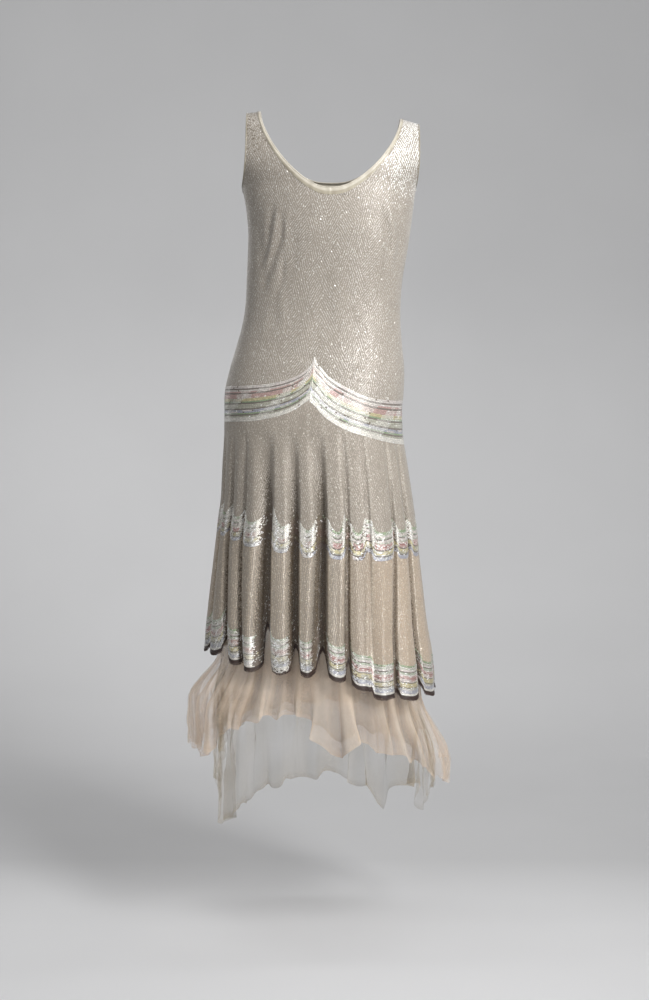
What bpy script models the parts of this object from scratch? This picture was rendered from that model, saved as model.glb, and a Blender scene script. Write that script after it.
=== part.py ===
"""Sleeveless beaded evening dress of about 1930, built as a worn, hollow shell.

Frame: metres, +Z up. The origin is midway between the two places where the
straps rest on the wearer's shoulders. +X is the wearer's left, +Y the back of
the dress, -Y its front. The wearer stands with the left hip and shoulder
raised, so every level line of the dress drops a little towards -X.

Every piece is an open grid laid on the dress's own outline, extruded inwards
to its wall. Pieces that are sewn together share the direction of their walls,
so their seams stay open by the same amount all the way through.
"""
import math

import bmesh
import bpy
from mathutils import Vector

# ---------------------------------------------------------------- sizes (m)
NET_WALL = 0.0018        # beaded net with its bead rows
BAND_WALL = 0.0020       # bands of close bead rows
BINDING_WALL = 0.0022    # folded satin binding
TULLE_WALL = 0.0012      # soft underskirt net
SEAM = 0.0002            # each piece stops this far short of its seam line
SIDE_PULL = 0.0007       # outer face short of the side seam, for the wall's tilt
SHOULDER_PULL = 0.0008   # the same at the shoulder seam
TURNS = (84, 72, 60, 48, 36, 24, 12, 4, 0)   # neckline points, centre to strap (degrees)
SQUARE = 2.25            # power of the rounded cross-sections (2 = ellipse)

# Outline of the dress, crest of the folds: a row per level.
# level z, wearer's left edge x, right edge x, back y, front y  (mm)
OUTLINE = (
    (-110, 160, -149, 92, -108),
    (-160, 151, -143, 97, -121),
    (-200, 148, -138, 97, -126),
    (-240, 149, -132, 93, -123),
    (-280, 151, -125, 88, -115),
    (-320, 153, -122, 85, -107),
    (-360, 159, -122, 87, -101),
    (-400, 170, -125, 94, -100),
    (-440, 182, -129, 104, -103),
    (-480, 191, -128, 113, -107),
    (-520, 192, -125, 119, -110),
    (-560, 193, -128, 122, -112),
    (-610, 196, -136, 125, -115),
    (-670, 199, -145, 129, -120),
    (-720, 205, -152, 133, -126),
    (-780, 212, -158, 138, -133),
    (-840, 219, -165, 143, -139),
    (-900, 225, -172, 148, -145),
    (-960, 229, -182, 153, -151),
    (-1020, 231, -187, 158, -157),
    (-1300, 233, -190, 162, -161),
)

# Shoulder straps: outer edge x, its height z, inner height z (mm)
STRAP = {"left": (149, 9, 11), "right": (-152, -10, -2)}
UNDERARM_Z = -0.120      # lowest point of the armholes, at the side seams
SHOULDER_HALF = 0.190    # half width of the shoulders under the straps
SHOULDER_ROUND = 0.118   # height over which the back rolls over the shoulder

# Neckline scoop: half width at the straps, drop, power of the curve, binding
# width at the strap and at the centre, depth of the chest or back there (mm)
NECK_CENTRE_X = 0.003
NECK = {
    "back": dict(half=123, drop=128, power=1.53, bind_strap=5, bind_centre=13),
    "front": dict(half=123, drop=112, power=1.75, bind_strap=5, bind_centre=11),
}

# Striped hip band, two swags a side that rise to a point at the centre.
# degrees from the centre, then band top and bottom, wearer's left and right
SWAG = (
    (0, -414, -486, -414, -486),
    (3, -434, -494, -431, -501),
    (7, -444, -503, -445, -516),
    (13, -452, -511, -457, -529),
    (23, -459, -519, -471, -543),
    (36, -463, -525, -484, -553),
    (52, -466, -528, -490, -563),
    (70, -468, -531, -493, -570),
    (90, -471, -534, -495, -574),
)
SWAG_CENTRE = 88.3       # angle of the centre point at the back, degrees

# Flutes of the skirt, counted from the wearer's left side seam round the back.
# A row per fold line between two flutes. Angles in degrees round the skirt at
# the hip, mid and hem levels; mouth half width in degrees; depth of the fold
# and of the flute after it, at the mid level and at the hem (mm).
FLUTES_BACK = (
    # hip  mid    hem   half  deep_mid deep_hem sunk
    (0, -4, -6, 4.0, 10, 15, 0),
    (15, 14, 14, 4.0, 8, 13, 0),
    (31, 30, 37, 2.6, 12, 17, 4),
    (45, 44, 49, 1.8, 9, 12, 0),
    (62.5, 63, 65, 4.2, 17, 25, 0),
    (79, 80, 80, 2.8, 14, 19, 0),
    (92.2, 92.2, 91, 2.6, 18, 24, 0),
    (106.5, 107, 105, 2.6, 15, 18, 6),
    (119, 118, 113, 2.0, 11, 12, 0),
    (140, 140, 134.5, 2.4, 12, 18, 2),
    (155, 156, 154, 3.0, 9, 14, 0),
)
FLUTES_FRONT = (
    (180, 177, 176, 4.0, 9, 15, 0),
    (197, 195, 194, 3.6, 11, 17, 2),
    (214, 213, 212, 3.0, 12, 19, 0),
    (230, 230, 230, 3.4, 15, 22, 0),
    (246, 246, 247, 2.8, 12, 18, 3),
    (262, 262, 262, 3.0, 16, 23, 0),
    (279, 279, 279, 3.4, 14, 20, 0),
    (296, 296, 297, 2.8, 12, 19, 2),
    (313, 314, 315, 3.4, 15, 20, 0),
    (333, 333, 334, 3.6, 10, 16, 0),
)
SEAM_END = (360, 356, 354)   # left side seam again, after a full turn

# Scallops of the striped bands, one for each flute and in the same order:
# lowest point of the mid band and of the hem, rise to the points between
# scallops on the fold line before it (mm)
SCALLOPS_BACK = (
    # mid   rise  hem    rise
    (-730, 20, -945, 34),
    (-732, 22, -941, 40),
    (-737, 22, -951, 40),
    (-744, 24, -961, 26),
    (-752, 24, -961, 78),
    (-760, 26, -965, 46),
    (-763, 26, -973, 42),
    (-767, 26, -990, 40),
    (-769, 24, -1008, 14),
    (-770, 22, -1017, 34),
    (-771, 22, -1020, 32),
)
SCALLOPS_FRONT = (
    (-773, 24, -1020, 38),
    (-772, 24, -1017, 44),
    (-770, 26, -1010, 40),
    (-767, 24, -1002, 48),
    (-763, 26, -994, 38),
    (-758, 26, -985, 46),
    (-752, 24, -976, 40),
    (-746, 26, -967, 44),
    (-740, 22, -958, 40),
    (-733, 24, -950, 38),
)
MID_BAND = (41, 52)      # height of the mid band, wearer's left and right (mm)
HEM_BAND = 59            # height of the hem band (mm)
CUSP_KEEP = 0.62         # part of a point's rise kept at a band's lower edge
HIP_LEVEL, MID_LEVEL, HEM_LEVEL = -0.545, -0.750, -0.970

# Tulle underskirt, gathered to the inside of the skirt behind the mid band.
# degrees round, short and long layer's flare beyond the beaded skirt, short and
# long layer's hem (mm)
TULLE = (
    (0, 38, -9, -1116, -1190),
    (12, 37, -8, -1108, -1176),
    (24, 32, -6, -1124, -1150),
    (36, 27, -2, -1114, -1104),
    (42, 24, 0, -1074, -1066),
    (54, 20, 4, -1058, -1052),
    (66, 18, 8, -1036, -1032),
    (84, 16, 8, -1036, -1032),
    (90, 15, 8, -1070, -1052),
    (96, 15, 8, -1124, -1088),
    (104, 15, 8, -1064, -1056),
    (108, 15, 8, -1086, -1060),
    (120, 16, 8, -1104, -1072),
    (138, 18, 8, -1126, -1100),
    (150, 24, 8, -1158, -1140),
    (166, 33, 8, -1180, -1180),
    (180, 38, 8, -1190, -1206),
    (192, 33, 8, -1160, -1214),
    (204, 24, 10, -1128, -1262),
    (210, 22, 12, -1118, -1278),
    (216, 20, 12, -1108, -1230),
    (230, 18, 12, -1096, -1238),
    (240, 18, 12, -1090, -1300),
    (246, 18, 12, -1088, -1252),
    (254, 18, 12, -1086, -1248),
    (264, 18, 12, -1084, -1225),
    (282, 18, 12, -1090, -1240),
    (300, 20, 11, -1096, -1254),
    (312, 24, 8, -1104, -1284),
    (324, 28, 2, -1116, -1298),
    (336, 34, -4, -1136, -1290),
    (348, 38, -9, -1144, -1236),
    (360, 38, -9, -1116, -1190),
)
TULLE_CLEAR = 0.0075     # between the deepest folds and the tulle inside them
TULLE_PLY = 0.006        # short layer to long layer behind the skirt
HEM_DROP = 0.004         # below the beaded hem, where the tulle starts to spring out
PUFF = (0.070, 0.135)    # drop over which it does, wearer's left and right
GATHERS = ((13, 0.3, 1.0), (19, 1.7, 0.6), (7, 0.9, 0.5))  # waves, phase, share


# ---------------------------------------------------------------- curves
def mix(a, b, t):
    return a + (b - a) * t


def smooth(t):
    t = max(0.0, min(1.0, t))
    return t * t * (3 - 2 * t)


def look_up(rows, key, column):
    """Straight-line value of a column where the first column equals key."""
    rows = sorted(rows)
    if key <= rows[0][0]:
        return rows[0][column]
    for a, b in zip(rows, rows[1:]):
        if key <= b[0]:
            return mix(a[column], b[column], (key - a[0]) / (b[0] - a[0]))
    return rows[-1][column]


def signed_power(value, power):
    return math.copysign(abs(value) ** power, value)


def outline(z):
    """Middle x, half width, back depth and front depth at a level."""
    left, right, back, front = (look_up(OUTLINE, z * 1000, k) / 1000 for k in (1, 2, 3, 4))
    return (left + right) / 2, (left - right) / 2, back, -front


def on_dress(degrees, z, inset=0.0):
    """Point on the outline, moved in towards the wearer by inset."""
    middle, half, back, front = outline(z)
    c, s = math.cos(math.radians(degrees)), math.sin(math.radians(degrees))
    depth = back if s >= 0 else front
    dx = half * signed_power(c, 2 / SQUARE)
    dy = depth * signed_power(s, 2 / SQUARE)
    nx = signed_power(dx / half, SQUARE - 1) / half
    ny = signed_power(dy / depth, SQUARE - 1) / depth
    length = math.hypot(nx, ny)
    return Vector((middle + dx - nx / length * inset, dy - ny / length * inset, z))


# ---------------------------------------------------------------- sheets
def facing(point, along, up):
    """Unit normal of a surface with these two tangents, away from the wearer."""
    normal = along.cross(up).normalized()
    return -normal if normal.x * point.x + normal.y * point.y < 0 else normal


def grid_normal(place, i, j, columns, rows):
    """Normal of a piece at a grid point, from its neighbours in the grid."""
    along = place(min(i + 1, columns - 1), j) - place(max(i - 1, 0), j)
    up = place(i, min(j + 1, rows - 1)) - place(i, max(j - 1, 0))
    return facing(place(i, j), along, up)


def sheet(name, columns, rows, place, wall, material, normal=None, skip=None):
    """Grid of columns x rows vertices laid by place(i, j), extruded inwards."""
    bm = bmesh.new()
    bmesh.ops.create_grid(bm, x_segments=columns - 1, y_segments=rows - 1, size=0.5)
    column = bm.verts.layers.int.new("column")
    row = bm.verts.layers.int.new("row")
    for v in bm.verts:
        v[column] = round((v.co.x + 0.5) * (columns - 1))
        v[row] = round((v.co.y + 0.5) * (rows - 1))
    if skip:
        gone = [f for f in bm.faces if skip(min(v[column] for v in f.verts), min(v[row] for v in f.verts))]
        bmesh.ops.delete(bm, geom=gone, context="FACES")
    inner = bmesh.ops.extrude_face_region(bm, geom=bm.faces[:], use_keep_orig=True)["geom"]
    inner = {v for v in inner if isinstance(v, bmesh.types.BMVert)}
    for v in bm.verts:
        i, j = v[column], v[row]
        v.co = place(i, j)
        if v in inner:
            v.co -= (normal(i, j) if normal else grid_normal(place, i, j, columns, rows)) * wall
    bmesh.ops.recalc_face_normals(bm, faces=bm.faces[:])
    bmesh.ops.triangulate(bm, faces=bm.faces[:])
    mesh = bpy.data.meshes.new(name)
    bm.to_mesh(mesh)
    bm.free()
    mesh.materials.append(material)
    obj = bpy.data.objects.new(name, mesh)
    dress.objects.link(obj)
    obj.parent = hanger
    return obj


def paint(name, colour, roughness, metallic=0.0):
    material = bpy.data.materials.new(name)
    material.use_nodes = True
    shader = material.node_tree.nodes["Principled BSDF"]
    shader.inputs["Base Color"].default_value = (*colour, 1)
    shader.inputs["Roughness"].default_value = roughness
    shader.inputs["Metallic"].default_value = metallic
    return material


# ---------------------------------------------------------------- skirt
def fold_lines():
    """Columns round the skirt as dicts: angle at hip, mid and hem, inset at
    mid and hem, and the scallop each one lies in."""
    rows = list(FLUTES_BACK) + list(FLUTES_FRONT)
    scallops = list(SCALLOPS_BACK) + list(SCALLOPS_FRONT)
    ends = rows[1:] + [SEAM_END + (4.0, 10, 15, 0)]
    columns = []
    for k, (row, nxt) in enumerate(zip(rows, ends)):
        here = dict(zip(("hip", "mid", "hem"), row[:3]))
        after = dict(zip(("hip", "mid", "hem"), nxt[:3]))
        half, sunk = row[3], row[6]
        floor = 0.30 * half
        before_sunk = rows[k - 1][6]
        marks = [
            # offset from this fold line, depth at mid, depth at hem
            (here, floor if k not in (0, len(FLUTES_BACK)) else 0.0, row[4], row[5]),
            (here, half, sunk, sunk),
            (after, -nxt[3], sunk, sunk),
            (after, -0.30 * nxt[3], nxt[4], nxt[5]),
        ]
        for base, offset, mid, hem in marks:
            columns.append(dict(
                flute=k, hip=base["hip"] + offset, mid=base["mid"] + offset, hem=base["hem"] + offset,
                deep_mid=mid / 1000, deep_hem=hem / 1000,
                start=here, end=after,
            ))
        # the centre points of the hip band need columns of their own
        crest = dict(columns[-2])
        for centre in (SWAG_CENTRE, 360 - SWAG_CENTRE):
            for hip in (centre - 3, centre, centre + 3):
                if here["hip"] + half + 0.8 < hip < after["hip"] - nxt[3] - 0.8:
                    t = (hip - here["hip"]) / (after["hip"] - here["hip"])
                    columns.append(dict(crest, hip=hip, mid=mix(here["mid"], after["mid"], t),
                                        hem=mix(here["hem"], after["hem"], t)))
        columns.sort(key=lambda c: c["hip"])
    last = dict(columns[0])
    last.update(flute=len(rows) - 1, start=columns[-1]["start"], end=columns[-1]["end"],
                hip=SEAM_END[0], mid=SEAM_END[1], hem=SEAM_END[2])
    columns.append(last)
    return columns, scallops


COLUMNS, SCALLOPS = fold_lines()


def angle_at(column, z):
    if z > MID_LEVEL:
        t = max(0.0, (z - HIP_LEVEL) / (MID_LEVEL - HIP_LEVEL))
        return mix(column["hip"], column["mid"], t)
    t = min(1.0, (z - MID_LEVEL) / (HEM_LEVEL - MID_LEVEL))
    return mix(column["mid"], column["hem"], t)


def depth_at(column, z):
    if z > MID_LEVEL:
        t = max(0.0, (z - HIP_LEVEL) / (MID_LEVEL - HIP_LEVEL))
        return column["deep_mid"] * t ** 1.15
    t = min(1.0, (z - MID_LEVEL) / (HEM_LEVEL - MID_LEVEL))
    return mix(column["deep_mid"], column["deep_hem"], t)


def scallop_edge(column, which, lower):
    """Height of a scalloped edge where a column crosses it."""
    k = column["flute"]
    low_column, rise_column = (0, 1) if which == "mid" else (2, 3)
    low = SCALLOPS[k][low_column]
    before = SCALLOPS[k - 1][low_column]
    after = SCALLOPS[(k + 1) % len(SCALLOPS)][low_column]
    start, end = column["start"][which], column["end"][which]
    t = (column[which] - start) / (end - start)
    if t < 0.5:
        point = (low + before) / 2 + SCALLOPS[k][rise_column]
    else:
        point = (low + after) / 2 + SCALLOPS[(k + 1) % len(SCALLOPS)][rise_column]
    across = abs(2 * t - 1) ** 2.1
    if which == "mid":
        turn = math.cos(math.radians(column["mid"]))
        height = mix(MID_BAND[1], MID_BAND[0], (turn + 1) / 2)
        keep = CUSP_KEEP if lower else 1.0
    else:
        height, keep = HEM_BAND, 1.0
    value = mix(low, point, across * keep)
    return (value if lower else value + height) / 1000


def skirt_point(column, z):
    return on_dress(angle_at(column, z), z, depth_at(column, z))


def skirt_normal(column, z):
    """Wall direction at a column, the same for every piece that meets there."""
    k = next(i for i, c in enumerate(COLUMNS) if c["hip"] == column["hip"])
    last = len(COLUMNS) - 1
    before = COLUMNS[k - 1] if k else COLUMNS[last - 1]
    after = COLUMNS[k + 1] if k < last else COLUMNS[1]
    here = skirt_point(column, z)
    up = skirt_point(column, z + 0.006) - skirt_point(column, z - 0.006)
    sides = [(skirt_point(before, z) - here).normalized(), (skirt_point(after, z) - here).normalized()]
    return facing(here, sides[1] - sides[0], up)


def edge_height(column, edge):
    return {
        "hip_top": lambda: swag_top(column["hip"]),
        "hip_bottom": lambda: swag(column["hip"], "bottom"),
        "mid_top": lambda: scallop_edge(column, "mid", False),
        "mid_bottom": lambda: scallop_edge(column, "mid", True),
        "hem_top": lambda: scallop_edge(column, "hem", False),
        "hem_bottom": lambda: scallop_edge(column, "hem", True),
    }[edge]()


def build_ring_piece(name, columns, top, bottom, rows, wall, material):
    """Panel of the skirt between two edges, over a run of columns."""
    first, last = columns[0], columns[-1]

    def level(column, j):
        z_top = edge_height(column, top) - SEAM
        z_low = edge_height(column, bottom) + (0 if bottom == "hem_bottom" else SEAM)
        return mix(z_low, z_top, j / (rows - 1))

    def place(i, j):
        column = columns[i]
        z = level(column, j)
        point = skirt_point(column, z)
        if column is first or column is last:
            # stop short of the neighbour round the dress, along the piece's own row
            inner = columns[1] if column is first else columns[-2]
            away = skirt_point(inner, level(inner, j)) - point
            point += away * SEAM / math.hypot(away.x, away.y)
        return point

    sheet(name, len(columns), rows, place, wall, material,
          normal=lambda i, j: skirt_normal(columns[i], level(columns[i], j)))


def back_and_front():
    seam = next(i for i, c in enumerate(COLUMNS) if c["hip"] == 180)
    back = COLUMNS[:seam]
    end = dict(back[-1])
    end.update(hip=180, mid=COLUMNS[seam]["mid"], hem=COLUMNS[seam]["hem"],
               deep_mid=COLUMNS[seam]["deep_mid"], deep_hem=COLUMNS[seam]["deep_hem"])
    return back + [end], COLUMNS[seam:]


# ---------------------------------------------------------------- tulle
def deepest(z):
    deep_mid = max(c["deep_mid"] for c in COLUMNS)
    deep_hem = max(c["deep_hem"] for c in COLUMNS)
    return depth_at(dict(deep_mid=deep_mid, deep_hem=deep_hem), z)


def skirt_hem_low(degrees):
    """Height of the beaded hem's lowest line round the skirt."""
    starts = [row[2] for row in FLUTES_BACK + FLUTES_FRONT] + [SEAM_END[2]]
    lows = [row[2] for row in SCALLOPS_BACK + SCALLOPS_FRONT]
    middles = [((a + b) / 2, low) for a, b, low in zip(starts, starts[1:], lows)]
    ring = [(angle + turn, low) for turn in (-360, 0, 360) for angle, low in middles]
    return look_up(ring, degrees, 1) / 1000


def gather(degrees):
    turn = math.radians(degrees)
    total = sum(share for _, _, share in GATHERS)
    return sum(share * math.sin(waves * turn + phase) for waves, phase, share in GATHERS) / total


def puff(degrees):
    return mix(PUFF[1], PUFF[0], (math.cos(math.radians(degrees)) + 1) / 2)


def tulle_point(degrees, z, ply):
    inside = deepest(z) + TULLE_CLEAR + ply * TULLE_PLY
    flare = look_up(TULLE, degrees % 360, 1 + ply) / 1000
    spring = smooth((skirt_hem_low(degrees) - HEM_DROP - z) / puff(degrees))
    inset = mix(inside, -flare, spring)
    ripple = mix(0.0012, 0.0105, spring)
    return on_dress(degrees, z, inset + ripple * gather(degrees))


def build_tulle(name, layer, ply, low, high, steps, material):
    """Rows of a layer: hem, end and middle of the spring outwards, skirt hem, top."""
    row = {"short": 0, "long": 1}[layer]

    def place(i, j):
        degrees = mix(low, high, i / steps) + {0: 0.12, steps: -0.12}.get(i, 0)
        hems = [look_up(TULLE, degrees % 360, k) / 1000 for k in (3, 4)]
        hem = hems[row]
        top = mix(-0.752, -0.722, (math.cos(math.radians(degrees)) + 1) / 2)
        start = skirt_hem_low(degrees) - HEM_DROP
        end = max(start - puff(degrees), max(hems) + 0.012)
        z = (hem, end, mix(start, end, 0.45), start, top)[j]
        return tulle_point(degrees, z, ply)

    sheet(name, steps + 1, 5, place, TULLE_WALL, material)


# ---------------------------------------------------------------- bodice
def wearer_left(degrees):
    return degrees % 360 < SWAG_CENTRE or degrees % 360 > 360 - SWAG_CENTRE


def swag(degrees, edge):
    """Height of the hip band's top or bottom edge round the dress."""
    d = degrees if degrees in (0, 360) else degrees % 360
    centre = SWAG_CENTRE if d <= 180 else 360 - SWAG_CENTRE
    column = {"top": 1, "bottom": 2}[edge] + (0 if wearer_left(d) else 2)
    return look_up(SWAG, abs(d - centre), column) / 1000


def panel_angles(side):
    """Bodice columns: the fold columns of the skirt nearest the swag's rows,
    so that the edges of bodice, hip band and skirt meet point to point."""
    start = 0 if side == "back" else 180
    centre = SWAG_CENTRE if side == "back" else 360 - SWAG_CENTRE
    hips = [c["hip"] for c in COLUMNS if start <= c["hip"] <= start + 180]
    wanted = [centre - row[0] for row in SWAG] + [centre + row[0] for row in SWAG]
    chosen = {min(hips, key=lambda h: abs(h - w)) for w in wanted}
    return sorted(chosen | {start, start + 180})


def swag_top(degrees):
    """Top edge of the hip band, straight between the bodice's columns."""
    d = degrees if degrees == 360 else degrees % 360
    side = "back" if d < 180 or degrees == 180 else "front"
    angles = panel_angles(side)
    rows = [(angle, swag(angle, "top")) for angle in angles]
    return look_up(rows, d, 1)


def scoop(side, hand, turn, grow):
    """Neckline point: turn 0 at the strap, 90 at the centre; grow 0 is the
    finished edge and 1 the seam between binding and panel."""
    n = NECK[side]
    half = (n["half"] + grow * n["bind_strap"]) / 1000
    drop = (n["drop"] + grow * n["bind_centre"]) / 1000
    t = math.radians(turn)
    top = STRAP[hand][2] / 1000
    sign = 1 if hand == "left" else -1
    power = 2 / n["power"]
    level = mix(top, (STRAP["left"][2] + STRAP["right"][2]) / 2000, smooth(turn / 90))
    return NECK_CENTRE_X + sign * half * math.cos(t) ** power, level - drop * math.sin(t) ** power


def shoulder(side, x, z, top):
    """Depth of the back or chest at x, z, rolling over the shoulder at top."""
    middle, half, back, front = outline(min(z, -0.110))
    depth = back if side == "back" else front
    half = mix(half, SHOULDER_HALF, smooth((z - UNDERARM_Z) / 0.060))
    across = max(0.0, 1 - min(1.0, abs((x - middle) / half)) ** SQUARE) ** (1 / SQUARE)
    down = max(0.0, min(1.0, (top - z) / SHOULDER_ROUND))
    y = depth * across * math.sqrt(1 - (1 - down) ** 2)
    return y if side == "back" else -y


def shoulder_normal(side, x, z, top):
    """Normal of that surface; at the shoulder it points straight up."""
    step = 0.002
    z = min(z, top - step)
    here = Vector((x, shoulder(side, x, z, top), z))
    along = Vector((2 * step, shoulder(side, x + step, z, top) - shoulder(side, x - step, z, top), 0))
    up = Vector((0, shoulder(side, x, z + step, top) - shoulder(side, x, z - step, top), 2 * step))
    return facing(here, along, up)


def upper_point(side, hand, turn, share):
    """Point between the armhole edge (share 0) and the neck seam (share 1),
    on the row that starts at the neckline's turn."""
    power = 2 / NECK[side]["power"]
    fall = (math.sin(math.radians(turn)) / math.sin(math.radians(TURNS[0]))) ** power
    sign = 1 if hand == "left" else -1
    outer_x, outer_z, inner_z = (value / 1000 for value in STRAP[hand])
    middle, half, _, _ = outline(UNDERARM_Z)
    ax = mix(outer_x, middle + sign * half, fall ** 4)
    az = mix(outer_z, UNDERARM_Z, fall)
    nx, nz = scoop(side, hand, turn, 1)
    nx += sign * SEAM * math.cos(math.radians(turn))
    nz -= SEAM * math.sin(math.radians(turn))
    share = mix(share, 1 - math.cos(math.radians(90 * share)) ** (2 / SQUARE), fall)
    x, z = mix(ax, nx, share), mix(az, nz, share)
    top = mix(outer_z, inner_z, share)
    return Vector((x, shoulder(side, x, z, top), z)), shoulder_normal(side, x, z, top)


def bodice_place(side, angles, low_rows):
    centre = angles.index(SWAG_CENTRE if side == "back" else 360 - SWAG_CENTRE)
    last = len(angles) - 1
    base = 0 if side == "back" else 180
    away = 1 if side == "back" else -1

    def high(i, turn):
        if i == centre:
            x, z = scoop(side, "left", 90, 1)
            return Vector((x, shoulder(side, x, z, 0.0), z - SEAM)), shoulder_normal(side, x, z, 0.0)
        hand = "left" if (i < centre) == (side == "back") else "right"
        share = i / (centre - 1) if i < centre else (last - i) / (last - centre - 1)
        return upper_point(side, hand, turn, share)

    def place(i, j):
        if j >= low_rows:
            point, _ = high(i, TURNS[j - low_rows])
            if j == low_rows + len(TURNS) - 1:
                point.y += away * SHOULDER_PULL
        else:
            t = j / low_rows
            top, _ = high(i, TURNS[0])
            middle, half, _, _ = outline(top.z)
            across = max(-1.0, min(1.0, (top.x - middle) / half))
            angle = math.degrees(math.acos(signed_power(across, SQUARE / 2)))
            angle = angle if side == "back" else 360 - angle
            z = mix(swag(angles[i], "top") + SEAM, top.z, t)
            point = on_dress(mix(angles[i], angle, smooth(t)), z)
        if i in (0, last) and j <= low_rows:
            point.y += away * SIDE_PULL
        return point

    def normal(i, j):
        if j > low_rows:
            return high(i, TURNS[j - low_rows])[1]
        return grid_normal(place, i, j, len(angles), low_rows + 1)

    return place, normal, centre


def build_bodice(side, material):
    angles, low_rows = panel_angles(side), 5
    place, normal, centre = bodice_place(side, angles, low_rows)
    sheet(
        f"bodice_{side}", len(angles), low_rows + len(TURNS), place, NET_WALL, material, normal,
        skip=lambda i, j: j >= low_rows and i in (centre - 1, centre),
    )


def build_binding(side, material):
    """Satin binding: a strip between the neck seam and the finished edge."""
    turns = [("left", t) for t in reversed(TURNS)] + [("left", 90)] + [("right", t) for t in TURNS]
    away = 1 if side == "back" else -1

    def rest(i, j):
        hand, turn = turns[i]
        x, z = scoop(side, hand, turn, 1 - j)
        return x, z, STRAP[hand][2] / 1000 if turn < 90 else 0.0

    def place(i, j):
        x, z, top = rest(i, j)
        y = shoulder(side, x, z, top)
        if i in (0, len(turns) - 1):
            y += away * SHOULDER_PULL
        return Vector((x, y, z))

    sheet(f"neck_binding_{side}", len(turns), 2, place, BINDING_WALL, material,
          normal=lambda i, j: shoulder_normal(side, *rest(i, j)))


# ---------------------------------------------------------------- build
for old in list(bpy.data.objects):
    bpy.data.objects.remove(old, do_unlink=True)

dress = bpy.data.collections.new("flapper_dress")
bpy.context.scene.collection.children.link(dress)
hanger = bpy.data.objects.new("shoulder_rest_origin", None)
dress.objects.link(hanger)

NET = paint("beaded_net", (0.42, 0.36, 0.30), 0.45)
STRIPES = paint("bead_stripes", (0.62, 0.55, 0.52), 0.35)
SATIN = paint("ivory_satin", (0.80, 0.76, 0.66), 0.30)
TULLE_SHORT = paint("peach_tulle", (0.66, 0.48, 0.38), 0.80)
TULLE_LONG = paint("sheer_tulle", (0.70, 0.58, 0.50), 0.85)

for half in ("back", "front"):
    build_bodice(half, NET)
    build_binding(half, SATIN)

back, front = back_and_front()
quarters = {
    "hip_band_back_left": [c for c in back if c["hip"] <= SWAG_CENTRE + 1e-6],
    "hip_band_back_right": [c for c in back if c["hip"] >= SWAG_CENTRE - 1e-6],
    "hip_band_front_right": [c for c in front if c["hip"] <= 360 - SWAG_CENTRE + 1e-6],
    "hip_band_front_left": [c for c in front if c["hip"] >= 360 - SWAG_CENTRE - 1e-6],
}
for name, columns in quarters.items():
    build_ring_piece(name, columns, "hip_top", "hip_bottom", 3, BAND_WALL, STRIPES)

for half, columns in (("back", back), ("front", front)):
    build_ring_piece(f"upper_skirt_{half}", columns, "hip_bottom", "mid_top", 3, NET_WALL, NET)
    build_ring_piece(f"mid_band_{half}", columns, "mid_top", "mid_bottom", 2, BAND_WALL, STRIPES)
    build_ring_piece(f"lower_skirt_{half}", columns, "mid_bottom", "hem_top", 4, NET_WALL, NET)
    build_ring_piece(f"hem_band_{half}", columns, "hem_top", "hem_bottom", 2, BAND_WALL, STRIPES)

build_tulle("tulle_short_back", "short", 0, 0, 180, 30, TULLE_SHORT)
build_tulle("tulle_short_front", "short", 0, 180, 360, 30, TULLE_SHORT)
build_tulle("tulle_long_back", "long", 1, 0, 180, 30, TULLE_LONG)
build_tulle("tulle_long_front", "long", 1, 180, 360, 30, TULLE_LONG)
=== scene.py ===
"""Looks of the beaded evening dress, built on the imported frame.

Same frame as the CAD: metres, +Z up, origin between the straps' resting places,
+X the wearer's left, +Y the back of the dress. Every cloth piece is a thin
sheet on the form of its CAD solid, with its folds, and its beads are a joined
mesh that lies on it.
"""
import math

import bpy
import numpy as np
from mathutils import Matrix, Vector
from mathutils.bvhtree import BVHTree


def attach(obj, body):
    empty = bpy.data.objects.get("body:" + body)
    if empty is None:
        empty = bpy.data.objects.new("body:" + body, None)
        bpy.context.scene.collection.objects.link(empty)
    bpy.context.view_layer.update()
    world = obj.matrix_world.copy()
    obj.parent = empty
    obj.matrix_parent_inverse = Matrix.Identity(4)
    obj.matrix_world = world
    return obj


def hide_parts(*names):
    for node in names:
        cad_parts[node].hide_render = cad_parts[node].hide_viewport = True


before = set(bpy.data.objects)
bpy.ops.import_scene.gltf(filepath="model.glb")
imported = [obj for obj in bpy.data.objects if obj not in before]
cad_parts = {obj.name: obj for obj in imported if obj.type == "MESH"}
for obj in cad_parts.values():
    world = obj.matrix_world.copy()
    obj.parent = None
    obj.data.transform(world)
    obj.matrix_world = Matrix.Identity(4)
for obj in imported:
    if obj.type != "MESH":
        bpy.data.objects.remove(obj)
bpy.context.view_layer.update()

# ------------------------------------------------------------------ sizes (mm)
SQUARE = 2.25
# level z, wearer's left edge x, right edge x, back y, front y
OUTLINE = (
    (-110, 160, -149, 92, -108),
    (-160, 151, -143, 97, -121),
    (-200, 148, -138, 97, -126),
    (-240, 149, -132, 93, -123),
    (-280, 151, -125, 88, -115),
    (-320, 153, -122, 85, -107),
    (-360, 159, -122, 87, -101),
    (-400, 170, -125, 94, -100),
    (-440, 182, -129, 104, -103),
    (-480, 191, -128, 113, -107),
    (-520, 192, -125, 119, -110),
    (-560, 193, -128, 122, -112),
    (-610, 196, -136, 125, -115),
    (-670, 199, -145, 129, -120),
    (-720, 205, -152, 133, -126),
    (-780, 212, -158, 138, -133),
    (-840, 219, -165, 143, -139),
    (-900, 225, -172, 148, -145),
    (-960, 229, -182, 153, -151),
    (-1020, 231, -187, 158, -157),
    (-1300, 233, -190, 162, -161),
)
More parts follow.
